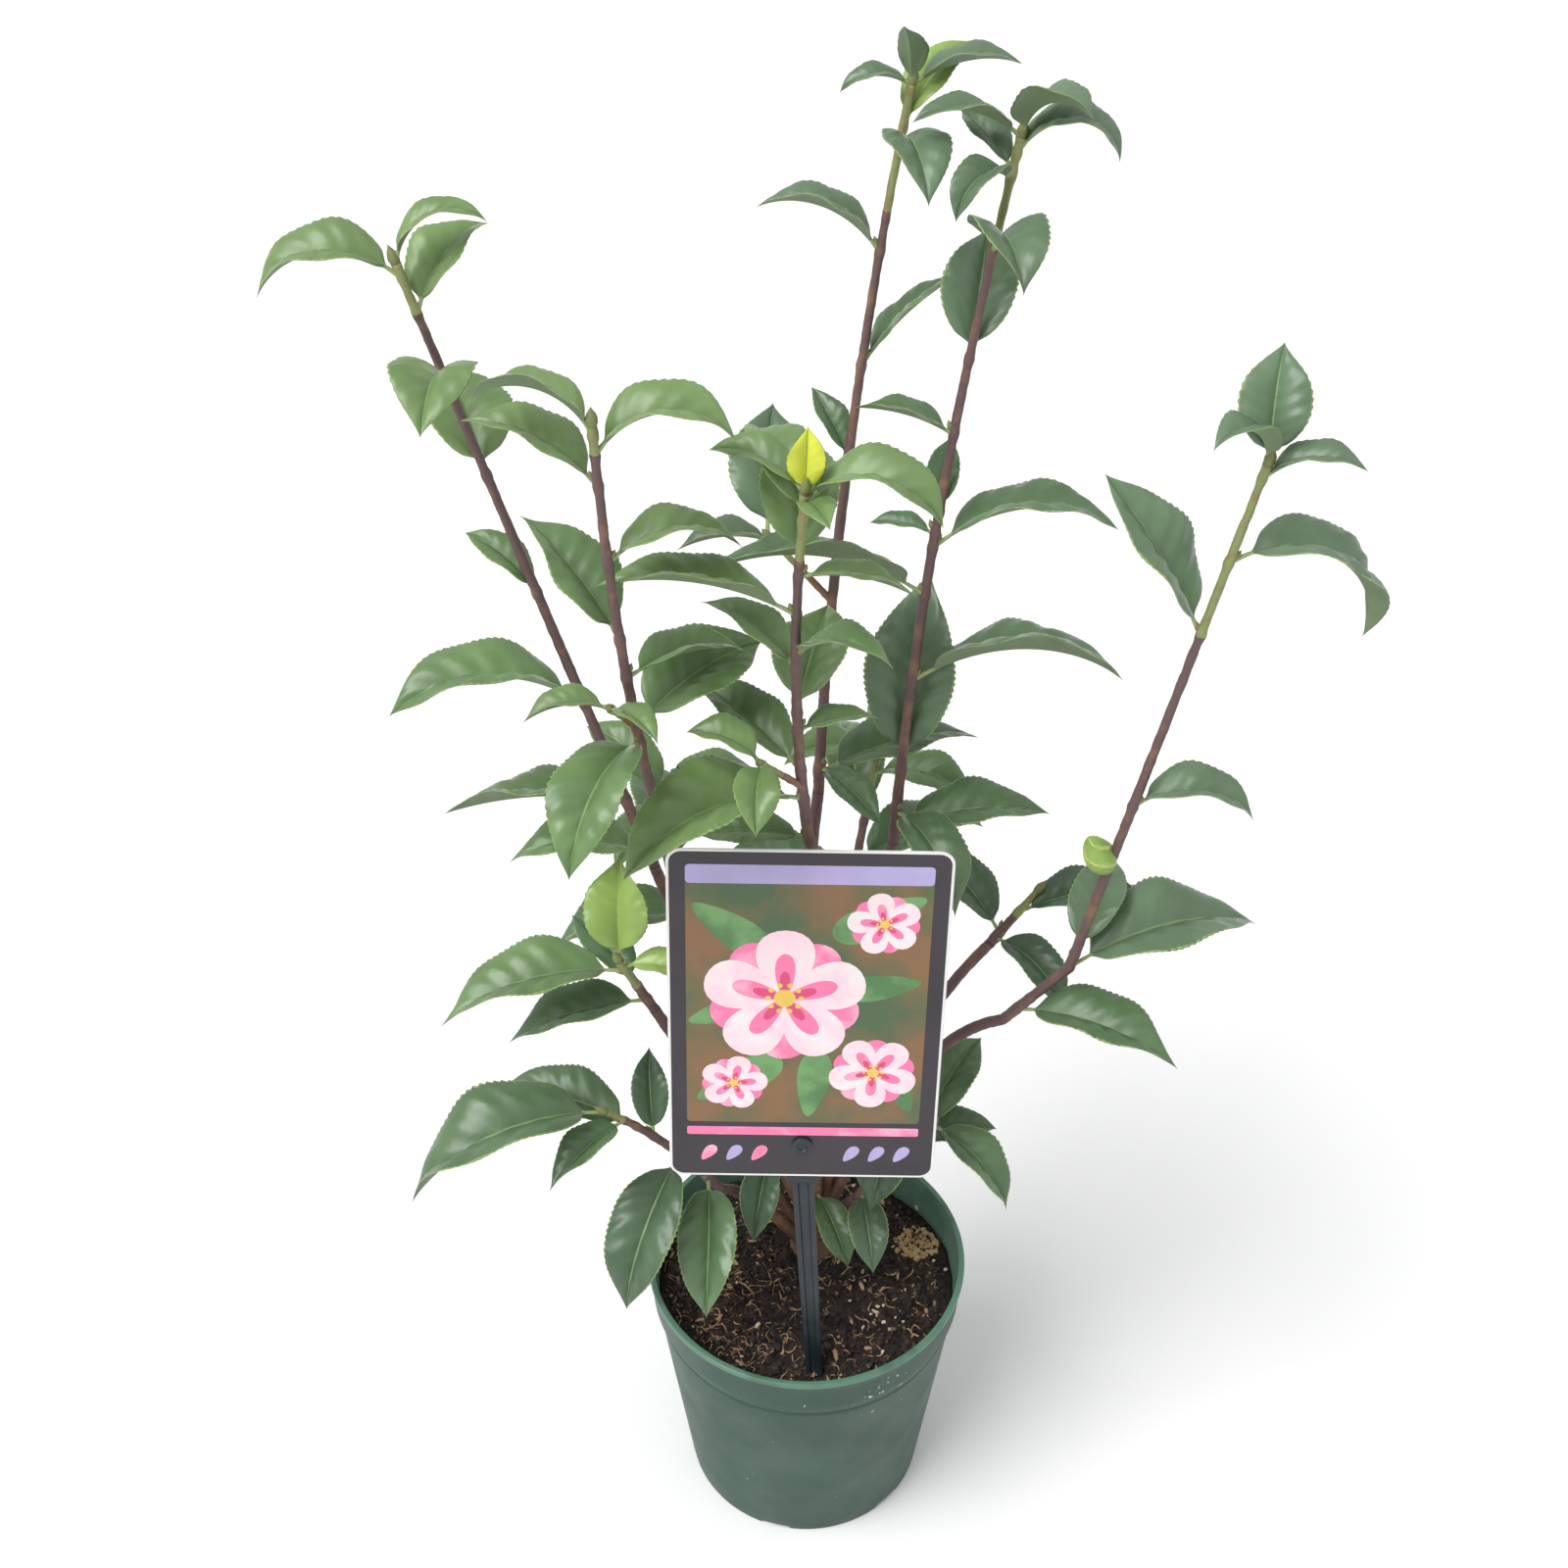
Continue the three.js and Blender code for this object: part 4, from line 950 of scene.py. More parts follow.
def limb_rings(limb, joints, look):
    """Rings round a limb: radius r0 + (r1 - r0) t, plus a swelling exp(-(d / 2.2)^2) at each
    joint, d being the distance along the limb in millimetres, plus the bark's ridges."""
    span = np.linalg.norm(np.subtract(limb["to"], limb["from"]))
    rows = max(LEAST_ROWS, int(span / LIMB_ROW_SPACING))
    t = np.linspace(0, 1, rows + 1)
    path = limb_point(limb, t)
    spoke = spokes(path, LIMB_SIDES)
    foot, tip = limb["radii"]
    radius = foot + (tip - foot) * t
    for at in joints:
        radius = radius + look.node_swell / MM * 0.5 * np.exp(-(((t - at) * span / NODE_REACH) ** 2))
    points = path[:, None] + spoke * radius[:, None, None]
    bark = look.relief / MM * ridges(points, *LIMB_BARK)
    return points + spoke * bark[..., None], t


def trunk_rings(look):
    """Rings of the short stem: its radius, plus a flare that fades evenly above the soil, less a
    rounding (1 - d / 4)^2 near the top, d being the distance from it, plus the bark's ridges."""
    height = np.linspace(SOIL_TOP - TRUNK_BURIED, TRUNK_TOP, TRUNK_ROWS)
    flare = TRUNK_FLARE * np.clip(1 - (height - SOIL_TOP) / TRUNK_FLARE_HEIGHT, 0, 1.3)
    crown = TRUNK_CROWN * np.clip((height - TRUNK_TOP + TRUNK_CROWN) / TRUNK_CROWN, 0, 1) ** 2
    trunk = turned(np.stack([TRUNK_RADIUS + flare - crown, height], -1), TRUNK_SIDES)
    outward = trunk / np.linalg.norm(trunk[..., :2], axis=-1)[..., None] * [1, 1, 0]
    bark = TRUNK_RELIEF * look.relief / MM * ridges(trunk, *TRUNK_BARK)
    return trunk + outward * bark[..., None] + [*TRUNK_AT, 0]


class CAMELLIA_OT_grow_wood(bpy.types.Operator):
    """Grow the short stem, boughs, leafy stems and twigs with the bark's relief"""

    bl_idname = "camellia.grow_wood"
    bl_label = "Grow Wood"

    def execute(self, context):
        look = context.scene.camellia_bark
        limbs, leaves = grow()
        boughs, stems = Pile(), Pile()
        boughs.add(*tube(trunk_rings(look)), OLD)
        for name, limb in limbs.items():
            joints = sorted({leaf["at"] for leaf in leaves if leaf["limb"] == name})
            rings, t = limb_rings(limb, joints, look)
            rows = np.repeat(t[:-1], LIMB_SIDES)
            if name.startswith("bough_"):
                younger = np.where(rows < ORANGE_UNTIL, ORANGE, PURPLE)
                boughs.add(*tube(rings), np.where(rows < OLD_UNTIL, OLD, younger))
            elif "_twig_" in name:
                stems.add(*tube(rings), np.where(rows < TWIG_ORANGE_UNTIL, ORANGE, GREEN))
            else:
                stems.add(*tube(rings), np.where(rows > SHOOT_TONES[name][2], GREEN, PURPLE))
        barks = finishes(look, BARKS)
        put_mesh("boughs", boughs, barks, ["short_stem", *(f"bough_{n}" for n in SHOOTS)])
        put_mesh("stems", stems, barks, [f"foliage_{n}" for n in SHOOTS])
        return {"FINISHED"}


# Sizes of buds: how much wider a tip bud is than its tip, and a twig's bud over a stem's.
TIP_WIDER, TWIG_SHARE = 1.25, 0.5
# A leaf below this share of its stem has a bud in its axil: length, radius, rows and sides.
AXILS_BELOW = 0.93
AXIL_BUD = (4.6, 1.15, 8, 8)
AXIL_RISE, AXIL_LEAN = 20, 0.55
AXIL_OUT, AXIL_UP = 1.6, 1.8
SHORT_STEP = 0.02
FLOWER_ROWS, FLOWER_SIDES = 40, 36
SEPAL_DEPTH, SEPAL_RIM = 0.11, 0.16
LEAF_BUD = ("leaf_bud", "bud", "orange", 0.6, (200, 0.5, 0.75), (500, 0.3, 0.0003))
FLOWER_BUD = (
    ("flower_bud_green", "flower_bud", "sepal_rim", 0.42, (90, 0.5, 0.85), (400, 0.2, 0.0003)),
    ("flower_bud_rim", "sepal_rim", "flower_bud", 0.45, (120, 0.5, 0.9), (400, 0.2, 0.0003)),
)


def bud_rings(start, way, size, radius, rows=12, sides=10):
    """Rings of a bud: radius R (0.7 + 0.5 sin pi u) (1 - u^2.6), u from foot to tip, with scales
    that overlap in a spiral: 1 + 0.1 frac(3 u + a / 2 pi)."""
    u = np.linspace(0, 1, rows + 1)
    path = start + np.asarray(way) * size * u[:, None]
    a = np.arange(sides) / sides
    body = radius * (0.7 + 0.5 * np.sin(np.pi * u)) * np.clip(1 - u**2.6, 0.04, 1)
    scale = 1 + 0.1 * ((3 * u[:, None] + a) % 1)
    return path[:, None] + spokes(path, sides) * (body[:, None] * scale)[..., None]


def flower_rings(foot, way):
    """Rings of the flower bud: radius R sin(pi w^0.9)^0.7, w = 0.06 + 0.94 u, times
    1 - 0.11 f sin(pi u). f, also given back, is the fraction of 2 u + 3 a / 2 pi: the place
    between one sepal's rim and the next, as three sepals wind round the bud."""
    u = np.linspace(0, 1, FLOWER_ROWS + 1)
    path = foot + way * BUD_LENGTH * u[:, None]
    a = np.arange(FLOWER_SIDES) / FLOWER_SIDES
    w = np.clip(0.06 + 0.94 * u, 0, 1)
    body = BUD_RADIUS * np.clip(np.sin(np.pi * w**0.9), 0.02, 1) ** 0.7
    overlap = (2 * u[:, None] + 3 * a) % 1
    sepals = 1 - SEPAL_DEPTH * overlap * np.sin(np.pi * u)[:, None]
    rings = path[:, None] + spokes(path, FLOWER_SIDES) * (body[:, None] * sepals)[..., None]
    return rings, overlap


class CAMELLIA_OT_grow_buds(bpy.types.Operator):
    """Grow the leaf buds at tips and in leaf axils, and the closed flower bud"""

    bl_idname = "camellia.grow_buds"
    bl_label = "Grow Buds"

    def execute(self, context):
        look = context.scene.camellia_bark
        limbs, leaves = grow()
        pile = Pile()

        def ends(limb, at):
            """The point a short step past a share of a limb, and the limb's direction there."""
            near, far = limb_point(limb, [at, min(1, at + SHORT_STEP)])
            return far, normal(far - near)

        for name, limb in limbs.items():
            if name.startswith("bough_"):
                continue
            tip, way = ends(limb, 1 - SHORT_STEP)
            size = TIP_BUD * (TWIG_SHARE if "_twig_" in name else 1) + 1
            pile.add(*tube(bud_rings(tip - way, way, size, limb["radii"][1] * TIP_WIDER)))
        for leaf in (m for m in leaves if m["at"] < AXILS_BELOW):
            along = ends(limbs[leaf["limb"]], leaf["at"])[1]
            out = unit(leaf["heading"], AXIL_RISE)
            start = leaf["root"] + out * AXIL_OUT + along * AXIL_UP
            pile.add(*tube(bud_rings(start, normal(along + AXIL_LEAN * out), *AXIL_BUD)))
        put_mesh("leaf_buds", pile, finishes(look, [LEAF_BUD]), [f"foliage_{n}" for n in SHOOTS])

        foot = limb_point(limbs["far_right"], BUD_AT)[0]
        rings, overlap = flower_rings(foot, unit(BUD_HEADING, BUD_RISE))
        flower = Pile()
        flower.add(*tube(rings), (overlap[:-1] < SEPAL_RIM).astype(int).ravel(), 0)
        put_mesh("flower_bud", flower, finishes(look, FLOWER_BUD), ["foliage_far_right"])
        return {"FINISHED"}


# ---- pot and soil -------------------------------------------------------------------------------


def wall_radius(z):
    """The wall's outer radius: a straight taper from the base to the foot of the rim band."""
    under = POT_RIM_RADIUS - RIM_STEP - LIP_OUT
    return POT_BASE_RADIUS + (under - POT_BASE_RADIUS) * z / (POT_HEIGHT - RIM_BAND)


def rounded(corner_r, corner_z, radius, start, end, steps=5):
    """Profile points of a rounded corner: an arc about its middle between two angles in degrees."""
    a = np.radians(np.linspace(start, end, steps))
    return [(corner_r + radius * np.cos(b), corner_z + radius * np.sin(b)) for b in a]


POT_SEGMENTS = 192
NOTCH_PHASE = 0.25
# A groove below the rim band: heights from its foot and depths.
GROOVE_BELOW = 8
GROOVE = ((0, 0), (0.5, 0.35), (1, 0.35), (1.5, 0))
# The inside finish is painted light: paler than the wall, for the glow through the thin wall.
WALL, LIP, INSIDE_PAINTED_LIGHT = range(3)
POT_FINISHES = (
    ("pot_wall", "plastic", "worn", 0.5, (22, 0.42, 0.68), (260, 0.12, 0.0004), (0.08, 30)),
    ("pot_lip", "lip", "worn", 0.38, (40, 0.5, 0.75), (300, 0.15, 0.0004), (0.06, 40)),
    ("pot_inside", "inside", "lip", 0.55, (50, 0.45, 0.7), (260, 0.15, 0.0004)),
)
# The knocked place: where it is and how near and far it reaches in metres, how much it raises the
# specks' noise, and the levels between which the noise turns to chalk.
SCUFF_AT = (0.036, -0.07, 0.137)
SCUFF_REACH = (0.004, 0.026)
SCUFF_RAISE = 0.15
SCUFF_LEVELS = (0.76, 0.79)
SPECK_SCALE, SPECK_DETAIL = 330, 2


def pot_profile():
    """Radii and heights of the pot's outer face, from the middle of its foot up to the lip, and
    of its inner face, down to the floor. Edges are rounded by arcs."""
    step = POT_HEIGHT - RIM_BAND
    band = POT_RIM_RADIUS - LIP_OUT
    under = POT_HEIGHT - LIP_HEIGHT
    inside = POT_BASE_RADIUS - FOOT_RING
    floor_top = FLOOR_RAISE + POT_WALL
    groove_foot = step - GROOVE_BELOW
    outer = [
        (CENTRE_FOOT_RADIUS * 0.5, 0), (CENTRE_FOOT_RADIUS, 0), (CENTRE_FOOT_RADIUS + 2, FLOOR_RAISE),
        (inside - 2, FLOOR_RAISE), (inside, 0), (POT_BASE_RADIUS - 1.2, 0),
        *rounded(POT_BASE_RADIUS - 1.2, 1.2, 1.2, -80, -5),
        *((wall_radius(z), z) for z in np.linspace(2, groove_foot - 2, 24)),
        *((wall_radius(groove_foot) - depth, groove_foot + height) for height, depth in GROOVE),
        (wall_radius(step - 1), step - 1), (wall_radius(step), step), (band - 1.4, step + 0.3),
        *rounded(band - 1.6, step + 1.4, 1.0, -60, 0), (band - 0.3, step + 8), (band - 0.1, step + 15),
        (band, under), *rounded(POT_RIM_RADIUS - 0.8, under + 1, 0.8, -80, 0),
        *rounded(POT_RIM_RADIUS - 1, POT_HEIGHT - 1, 1, 0, 90),
        *rounded(band - POT_WALL + 0.8, POT_HEIGHT - 0.8, 0.8, 90, 180),
    ]
    inner = [
        (band - POT_WALL - 0.2, under - 4), (wall_radius(step) - POT_WALL, step),
        (wall_radius(floor_top) - POT_WALL, floor_top), (CENTRE_FOOT_RADIUS, floor_top),
    ]
    return outer, inner


def notch(rings):
    """Lifts the foot ring to the notches' height within half a notch's width of each of them."""
    x, y, z = np.moveaxis(rings, -1, 0)
    middles = 2 * np.pi * (np.arange(NOTCHES) + NOTCH_PHASE) / NOTCHES
    off = np.abs((np.arctan2(y, x)[..., None] - middles + np.pi) % (2 * np.pi) - np.pi).min(-1)
    foot = (np.hypot(x, y) > POT_BASE_RADIUS - FOOT_RING - 1) & (z < NOTCH_HEIGHT)
    rings[..., 2] = np.where(foot & (off < NOTCH_WIDTH / 2 / POT_BASE_RADIUS), NOTCH_HEIGHT, z)


def scuff(material, chalk):
    """Chalky specks: fine noise, raised by up to 0.15 round one knocked place below the lip.
    Where the sum passes a high level, the wall's colour turns to chalk."""
    tree = material.node_tree
    away = tree.nodes.new("ShaderNodeVectorMath")
    away.operation = "DISTANCE"
    away.inputs[1].default_value = SCUFF_AT
    tree.links.new(own_place(tree), away.inputs[0])
    total = tree.nodes.new("ShaderNodeMath")
    tree.links.new(noise(tree, SPECK_SCALE, SPECK_DETAIL), total.inputs[0])
    near = between(tree, away.outputs["Value"], *SCUFF_REACH, SCUFF_RAISE, 0)
    tree.links.new(near, total.inputs[1])
    blend_colour(tree, between(tree, total.outputs["Value"], *SCUFF_LEVELS), chalk)


class CAMELLIA_OT_turn_pot(bpy.types.Operator):
    """Turn the nursery pot: foot ring with drain notches, wall, rim band and rounded lip"""

    bl_idname = "camellia.turn_pot"
    bl_label = "Turn Pot"

    def execute(self, context):
        look = context.scene.camellia_pot
        outer, inner = pot_profile()
        profile = outer + inner
        rings = turned(profile, POT_SEGMENTS)
        notch(rings)
        lip_from = POT_HEIGHT - LIP_HEIGHT - 0.5
        kinds = np.where(np.array(profile)[:-1, 1] > lip_from, LIP, WALL)
        # The inner face takes the pale inside finish, painted light.
        kinds[len(outer) - 1:] = INSIDE_PAINTED_LIGHT
        pile = Pile()
        pile.add(*tube(rings), np.repeat(kinds, POT_SEGMENTS), WALL)
        plastics = finishes(look, POT_FINISHES)
        scuff(plastics[WALL], look.scuff)
        put_mesh("nursery_pot", pile, plastics, ["pot"])
        return {"FINISHED"}


ICOSAHEDRON_FACES = np.array([
    (0, 11, 5), (0, 5, 1), (0, 1, 7), (0, 7, 10), (0, 10, 11), (1, 5, 9), (5, 11, 4), (11, 10, 2),
    (10, 7, 6), (7, 1, 8), (3, 9, 4), (3, 4, 2), (3, 2, 6), (3, 6, 8), (3, 8, 9), (4, 9, 5),
    (2, 4, 11), (6, 2, 10), (8, 6, 7), (9, 8, 1),
])


def icosahedron():
    """The twelve corners of an icosahedron of radius 1, from the golden ratio."""
    g = (1 + 5**0.5) / 2
    corners = np.array([
        (-1, g, 0), (1, g, 0), (-1, -g, 0), (1, -g, 0), (0, -1, g), (0, 1, g),
        (0, -1, -g), (0, 1, -g), (g, 0, -1), (g, 0, 1), (-g, 0, -1), (-g, 0, 1),
    ])
    return corners / np.hypot(1, g)


LUMP_PUSH, LUMP_TIP = 0.2, 0.5


def lumps(random, places, sizes):
    """Twenty-faced lumps at places: an icosahedron with each corner pushed in or out by up to a
    fifth, scaled by its three sizes, tipped by up to 0.5 radians and turned any way about z."""
    n = len(places)
    push = 1 + random.uniform(-LUMP_PUSH, LUMP_PUSH, (n, 12, 1))
    corners = icosahedron()[None] * push * sizes[:, None]
    turn, tip = random.uniform(0, 2 * np.pi, n), random.uniform(-LUMP_TIP, LUMP_TIP, n)
    x, y, z = np.moveaxis(corners, -1, 0)
    tipped_y = y * np.cos(tip)[:, None] - z * np.sin(tip)[:, None]
    tipped_z = y * np.sin(tip)[:, None] + z * np.cos(tip)[:, None]
    c, s = np.cos(turn)[:, None], np.sin(turn)[:, None]
    points = np.stack([x * c - tipped_y * s, x * s + tipped_y * c, tipped_z], -1) + places[:, None]
    tris = ICOSAHEDRON_FACES[None] + 12 * np.arange(n)[:, None, None]
    return points.reshape(-1, 3), np.zeros((0, 4), int), tris.reshape(-1, 3)


# Lumps of three sizes: share of the relief, cell and seed. Then how far the soil's level lies below
# the solid's top, and the dip at the wall: how deep, from which radius and over what width.
SOIL_LUMPS = ((1, 15, 21), (0.8, 6, 22), (0.4, 2.6, 23))
SOIL_BELOW = 0.8
WALL_DIP, DIP_FROM, DIP_WIDTH = 2.5, 66, 13


def soil_height(x, y, relief):
    """The soil's height: its level, plus noise at three sizes, less a dip d^2 at the pot's wall."""
    flat = np.stack([x, y, np.zeros_like(x)], -1)
    lumpy = sum(share * rough(flat, cell, seed) for share, cell, seed in SOIL_LUMPS)
    dip = np.clip((np.hypot(x, y) - DIP_FROM) / DIP_WIDTH, 0, 1)
    return SOIL_TOP - SOIL_BELOW + relief * lumpy - WALL_DIP * dip**2


CRUMB_DARK, CRUMB_DRY, CHIP, MOSS, PALE = range(5)
LARGE_CHIPS = ((-22, 36), (15, -53), (43, 53), (-40, 8), (30, -10))
PALE_CHIPS = ((-26, -33), (22, 48), (63, 50), (5, -21), (-26, 30))
# Places with something of their own: the middle and how far it spreads.
MOSS_PATCH = ((61, 21), 12)
MOSS_CHIPS = ((60, 22), 12)
GRANULES = ((43, -28), 9)
FIBRE_MAT = ((-34, -28), 32)
LITTER_SEED = 41
SOIL_CLEARANCE = 0.4
SOIL_RINGS, SOIL_SEGMENTS = 66, 200
DARK_FIBRES = 0.6
FIBRE_POINTS, FIBRE_SIDES = 7, 3
FIBRE_LENGTHS = (3, 11)
FIBRE_RADII = (0.25, 0.65)
FIBRE_RISE, FIBRE_ARCH = 0.35, (0.2, 1.8)
WALL_MARGIN = 2
PEAT = ("peat", "peat", "crumb", 0.9, (160, 0.45, 0.66), (420, 0.9, 0.0012), (0.08, 90))
LITTER = (
    ("crumb_dark", "peat", "crumb", 0.92, (200, 0.4, 0.6), (500, 0.6, 0.0006)),
    ("crumb_dry", "crumb", "fibre", 0.92, (200, 0.5, 0.8), (500, 0.6, 0.0006)),
    ("wood_chip", "chip", "fibre", 0.8, (160, 0.4, 0.65), (600, 0.4, 0.0004)),
    ("moss", "moss", "fibre", 0.95, (260, 0.45, 0.7), (700, 0.7, 0.0006)),
    ("pale_bits", "pale", "fibre", 0.8, (200, 0.5, 0.8), (600, 0.4, 0.0004)),
)
STRAWS = (
    ("fibre", "fibre", "chip", 0.85, (120, 0.4, 0.7), (600, 0.3, 0.0003)),
    ("fibre_dark", "crumb", "chip", 0.85, (150, 0.5, 0.8), (600, 0.3, 0.0003)),
)


def strand(random, place, reach, relief):
    """One loose fibre through a place: a line in the way w with a sideways bend b sin(pi t), kept
    inside the pot, arched by sin(pi t) over the soil and half as thick at its ends."""
    t = np.linspace(0, 1, FIBRE_POINTS)
    heading = random.uniform(0, 2 * np.pi)
    size, bend = random.uniform(*FIBRE_LENGTHS), random.uniform(-1, 1)
    way = np.array([np.cos(heading), np.sin(heading), 0])
    side = np.array([-way[1], way[0], 0])
    path = place + way * size * (t[:, None] - 0.5) + side * size * bend * np.sin(np.pi * t)[:, None]
    keep_in = np.minimum(1, (reach - WALL_MARGIN) / np.maximum(1, np.hypot(path[:, 0], path[:, 1])))
    path[:, :2] *= keep_in[:, None]
    arch = FIBRE_RISE + random.uniform(*FIBRE_ARCH) * np.sin(np.pi * t)
    path[:, 2] = soil_height(path[:, 0], path[:, 1], relief) + arch
    thin = random.uniform(*FIBRE_RADII) * (1 - 0.5 * np.abs(2 * t - 1))
    return path[:, None] + spokes(path, FIBRE_SIDES) * thin[:, None, None]


class CAMELLIA_OT_fill_soil(bpy.types.Operator):
    """Fill the pot with lumpy peat and scatter crumbs, fibres, wood chips and moss over it"""

    bl_idname = "camellia.fill_soil"
    bl_label = "Fill Soil"

    def execute(self, context):
        look = context.scene.camellia_soil
        relief = look.relief / MM
        random = np.random.default_rng(LITTER_SEED)
        reach = wall_radius(SOIL_TOP - 4) - POT_WALL - SOIL_CLEARANCE
        depth = FLOOR_RAISE + POT_WALL + SOIL_CLEARANCE
        foot = wall_radius(depth) - POT_WALL - SOIL_CLEARANCE
        radii = np.linspace(0.6, reach, SOIL_RINGS)[::-1]
        rings = turned([(foot * 0.4, depth), (foot, depth), *((r, 0) for r in radii)], SOIL_SEGMENTS)
        top = rings[2:]
        top[..., 2] = soil_height(top[..., 0], top[..., 1], relief)
        ground = Pile()
        ground.add(*tube(rings))
        put_mesh("soil_surface", ground, finishes(look, [PEAT]), ["soil"])

        def on_soil(x, y):
            """Points at x and y on the soil's surface."""
            return np.stack([x, y, soil_height(x, y, relief)], -1)

        def scatter(number, middle=(0, 0), spread=reach - 3):
            """Places dealt evenly over a disc: radius spread sqrt(random), at any angle."""
            r = spread * np.sqrt(random.uniform(0, 1, number))
            a = random.uniform(0, 2 * np.pi, number)
            return on_soil(middle[0] + r * np.cos(a), middle[1] + r * np.sin(a))

        litter = Pile()

        def lay(places, rise, low, high, shape, kind):
            """Lumps that stand out by rise: a size from low to high, times the three sizes of the
            shape, each up to three tenths more or less."""
            size = random.uniform(low, high, (len(places), 1))
            sizes = size * np.array(shape) * random.uniform(0.7, 1.3, (len(places), 3))
            litter.add(*lumps(random, places + [0, 0, rise], sizes), kind)

        large_chips, pale_chips = (on_soil(*np.array(c, float).T) for c in (LARGE_CHIPS, PALE_CHIPS))
        # Each line: places, rise, smallest and largest size, shape and finish.
        lay(scatter(look.crumbs), 0, 0.6, 2.6, (1, 0.85, 0.7), CRUMB_DARK)
        lay(scatter(look.crumbs // 3), 0.9, 0.5, 1.8, (1, 0.8, 0.7), CRUMB_DRY)
        lay(scatter(look.chips), 1.2, 1.1, 3, (1, 0.4, 0.28), CHIP)
        lay(large_chips, 2.2, 4, 5.5, (1, 0.3, 0.2), CHIP)
        lay(pale_chips, 2.2, 2.2, 3.4, (1, 0.5, 0.35), PALE)
        lay(scatter(170, *MOSS_PATCH), 0.8, 0.5, 2.2, (1, 0.9, 0.7), MOSS)
        lay(scatter(40, *MOSS_CHIPS), 1.4, 0.5, 1.6, (1, 0.8, 0.7), CHIP)
        lay(scatter(12, *GRANULES), 1.2, 0.8, 1.4, (1, 1, 0.9), PALE)
        lay(scatter(45), 1.2, 0.6, 1.4, (1, 0.6, 0.5), PALE)
        put_mesh("soil_litter", litter, finishes(look, LITTER), ["soil"], smooth=False)

        strands = Pile()
        matted = scatter(look.fibres // 3, *FIBRE_MAT)
        for place in np.vstack([scatter(look.fibres), matted]):
            rings = strand(random, place, reach, relief)
            strands.add(*tube(rings), int(random.uniform() < DARK_FIBRES))
        put_mesh("soil_fibres", strands, finishes(look, STRAWS), ["soil"])
        return {"FINISHED"}


# ---- plant label --------------------------------------------------------------------------------


def stand_label(points):
    """From the label drawn upright (x right, y up, z out) to its place: stood up about x by 90
    degrees, turned about y, leaned back about x and moved to where it meets the soil."""
    turn, lean = np.radians(LABEL_TURN), np.radians(-LABEL_LEAN)
    x, y, z = points[..., 0], -points[..., 2], points[..., 1]
    x, z = x * np.cos(turn) + z * np.sin(turn), z * np.cos(turn) - x * np.sin(turn)
    y, z = y * np.cos(lean) - z * np.sin(lean), y * np.sin(lean) + z * np.cos(lean)
    return np.stack([x, y, z], -1) + np.array(LABEL_AT)


def layers(outlines, heights):
    """Rings of a flat closed form: each outline (anticlockwise) at its height."""
    flat = np.stack(outlines)
    level = np.broadcast_to(np.array(heights, float)[:, None, None], (*flat.shape[:2], 1))
    return np.concatenate([flat, level], -1)


def stood(rings):
    """A closed skin over rings of the label drawn upright, stood at its place."""
    points, quads, tris = tube(rings)
    return stand_label(points), quads, tris


def rounded_box(left, right, bottom, top, radius, steps=8):
    """A rectangle's outline with a quarter circle at each corner, anticlockwise."""
    corners = ((right, top, 0), (left, top, 90), (left, bottom, 180), (right, bottom, 270))
    parts = []
    for x, y, start in corners:
        a = np.radians(np.linspace(start, start + 90, steps))
        cx = x - radius if x == right else x + radius
        cy = y - radius if y == top else y + radius
        parts.append(np.stack([cx + radius * np.cos(a), cy + radius * np.sin(a)], -1))
    return np.vstack(parts)


def disc(x, y, radius, steps=32):
    """A circle's outline."""
    a = np.arange(steps) * 2 * np.pi / steps
    return np.stack([x + radius * np.cos(a), y + radius * np.sin(a)], -1)


def petal(x, y, size, angle, width, steps=28):
    """A teardrop from its foot: along = size (0.5 - 0.5 cos a), across = width size sin a
    (0.45 + 0.55 along / size), turned by the angle in degrees."""
    a = np.arange(steps) * 2 * np.pi / steps
    along = size * (0.5 - 0.5 * np.cos(a))
    beside = -width * size * np.sin(a) * (0.45 + 0.55 * along / size)
    c, s = np.cos(np.radians(angle)), np.sin(np.radians(angle))
    return np.stack([x + along * c - beside * s, y + along * s + beside * c], -1)


# Each layer of the card: how far its outline is drawn in, and its height.
CARD_LAYERS = ((0.25, 0), (0, 0.2), (0, 0.8), (0.25, CARD_THICKNESS), (1.3, CARD_THICKNESS))
CARD_FINISHES = (
    ("card_edge", "edge", None, 0.35, PLAIN_PATCHES, (300, 0.05, 0.0002)),
    ("card_frame", "frame", "frame_dark", 0.34, (20, 0.4, 0.7), (300, 0.06, 0.0002), (0.05, 25), 0.1),
)
# Inks by name: colour, second colour and patches.
INKS = {
    "ground": ("ground_green", "ground_brown", (28, 0.4, 0.62)),
    "pink": ("pink", "pale", (60, 0.5, 0.8)),
    "pale": ("pale", "edge", (70, 0.4, 0.7)),
    "lilac": ("lilac", None, PLAIN_PATCHES),
    "leaf": ("leaf", "leaf_light", (50, 0.4, 0.6)),
    "yellow": ("yellow", None, PLAIN_PATCHES),
    "deep_pink": ("deep_pink", None, PLAIN_PATCHES),
}
INK_LAYER = 0.006
INK_SUNK = 0.02
INK_ROUGHNESS, INK_GRAIN, INK_COAT = 0.32, (300, 0.04, 0.0002), 0.3
PICTURE_SIDE = 55
# Panels from PICTURE_SIDE to PICTURE_SIDE: bottom, top, corner radius, ink and level.
PANELS = ((172, 319, 2, "ground", 1), (164, 169, 1, "pink", 1), (309, 319, 2, "lilac", 2))
# Printed leaves: foot, length and angle.
SPRAY = (
    (-50, 186, 46, 32), (50, 180, 40, 112), (52, 302, 46, 208), (-52, 298, 44, -38),
    (2, 176, 40, 84), (52, 256, 36, 190), (-54, 232, 34, 20),
)
SPRAY_LEVEL, SPRAY_WIDTH = 3, 0.26
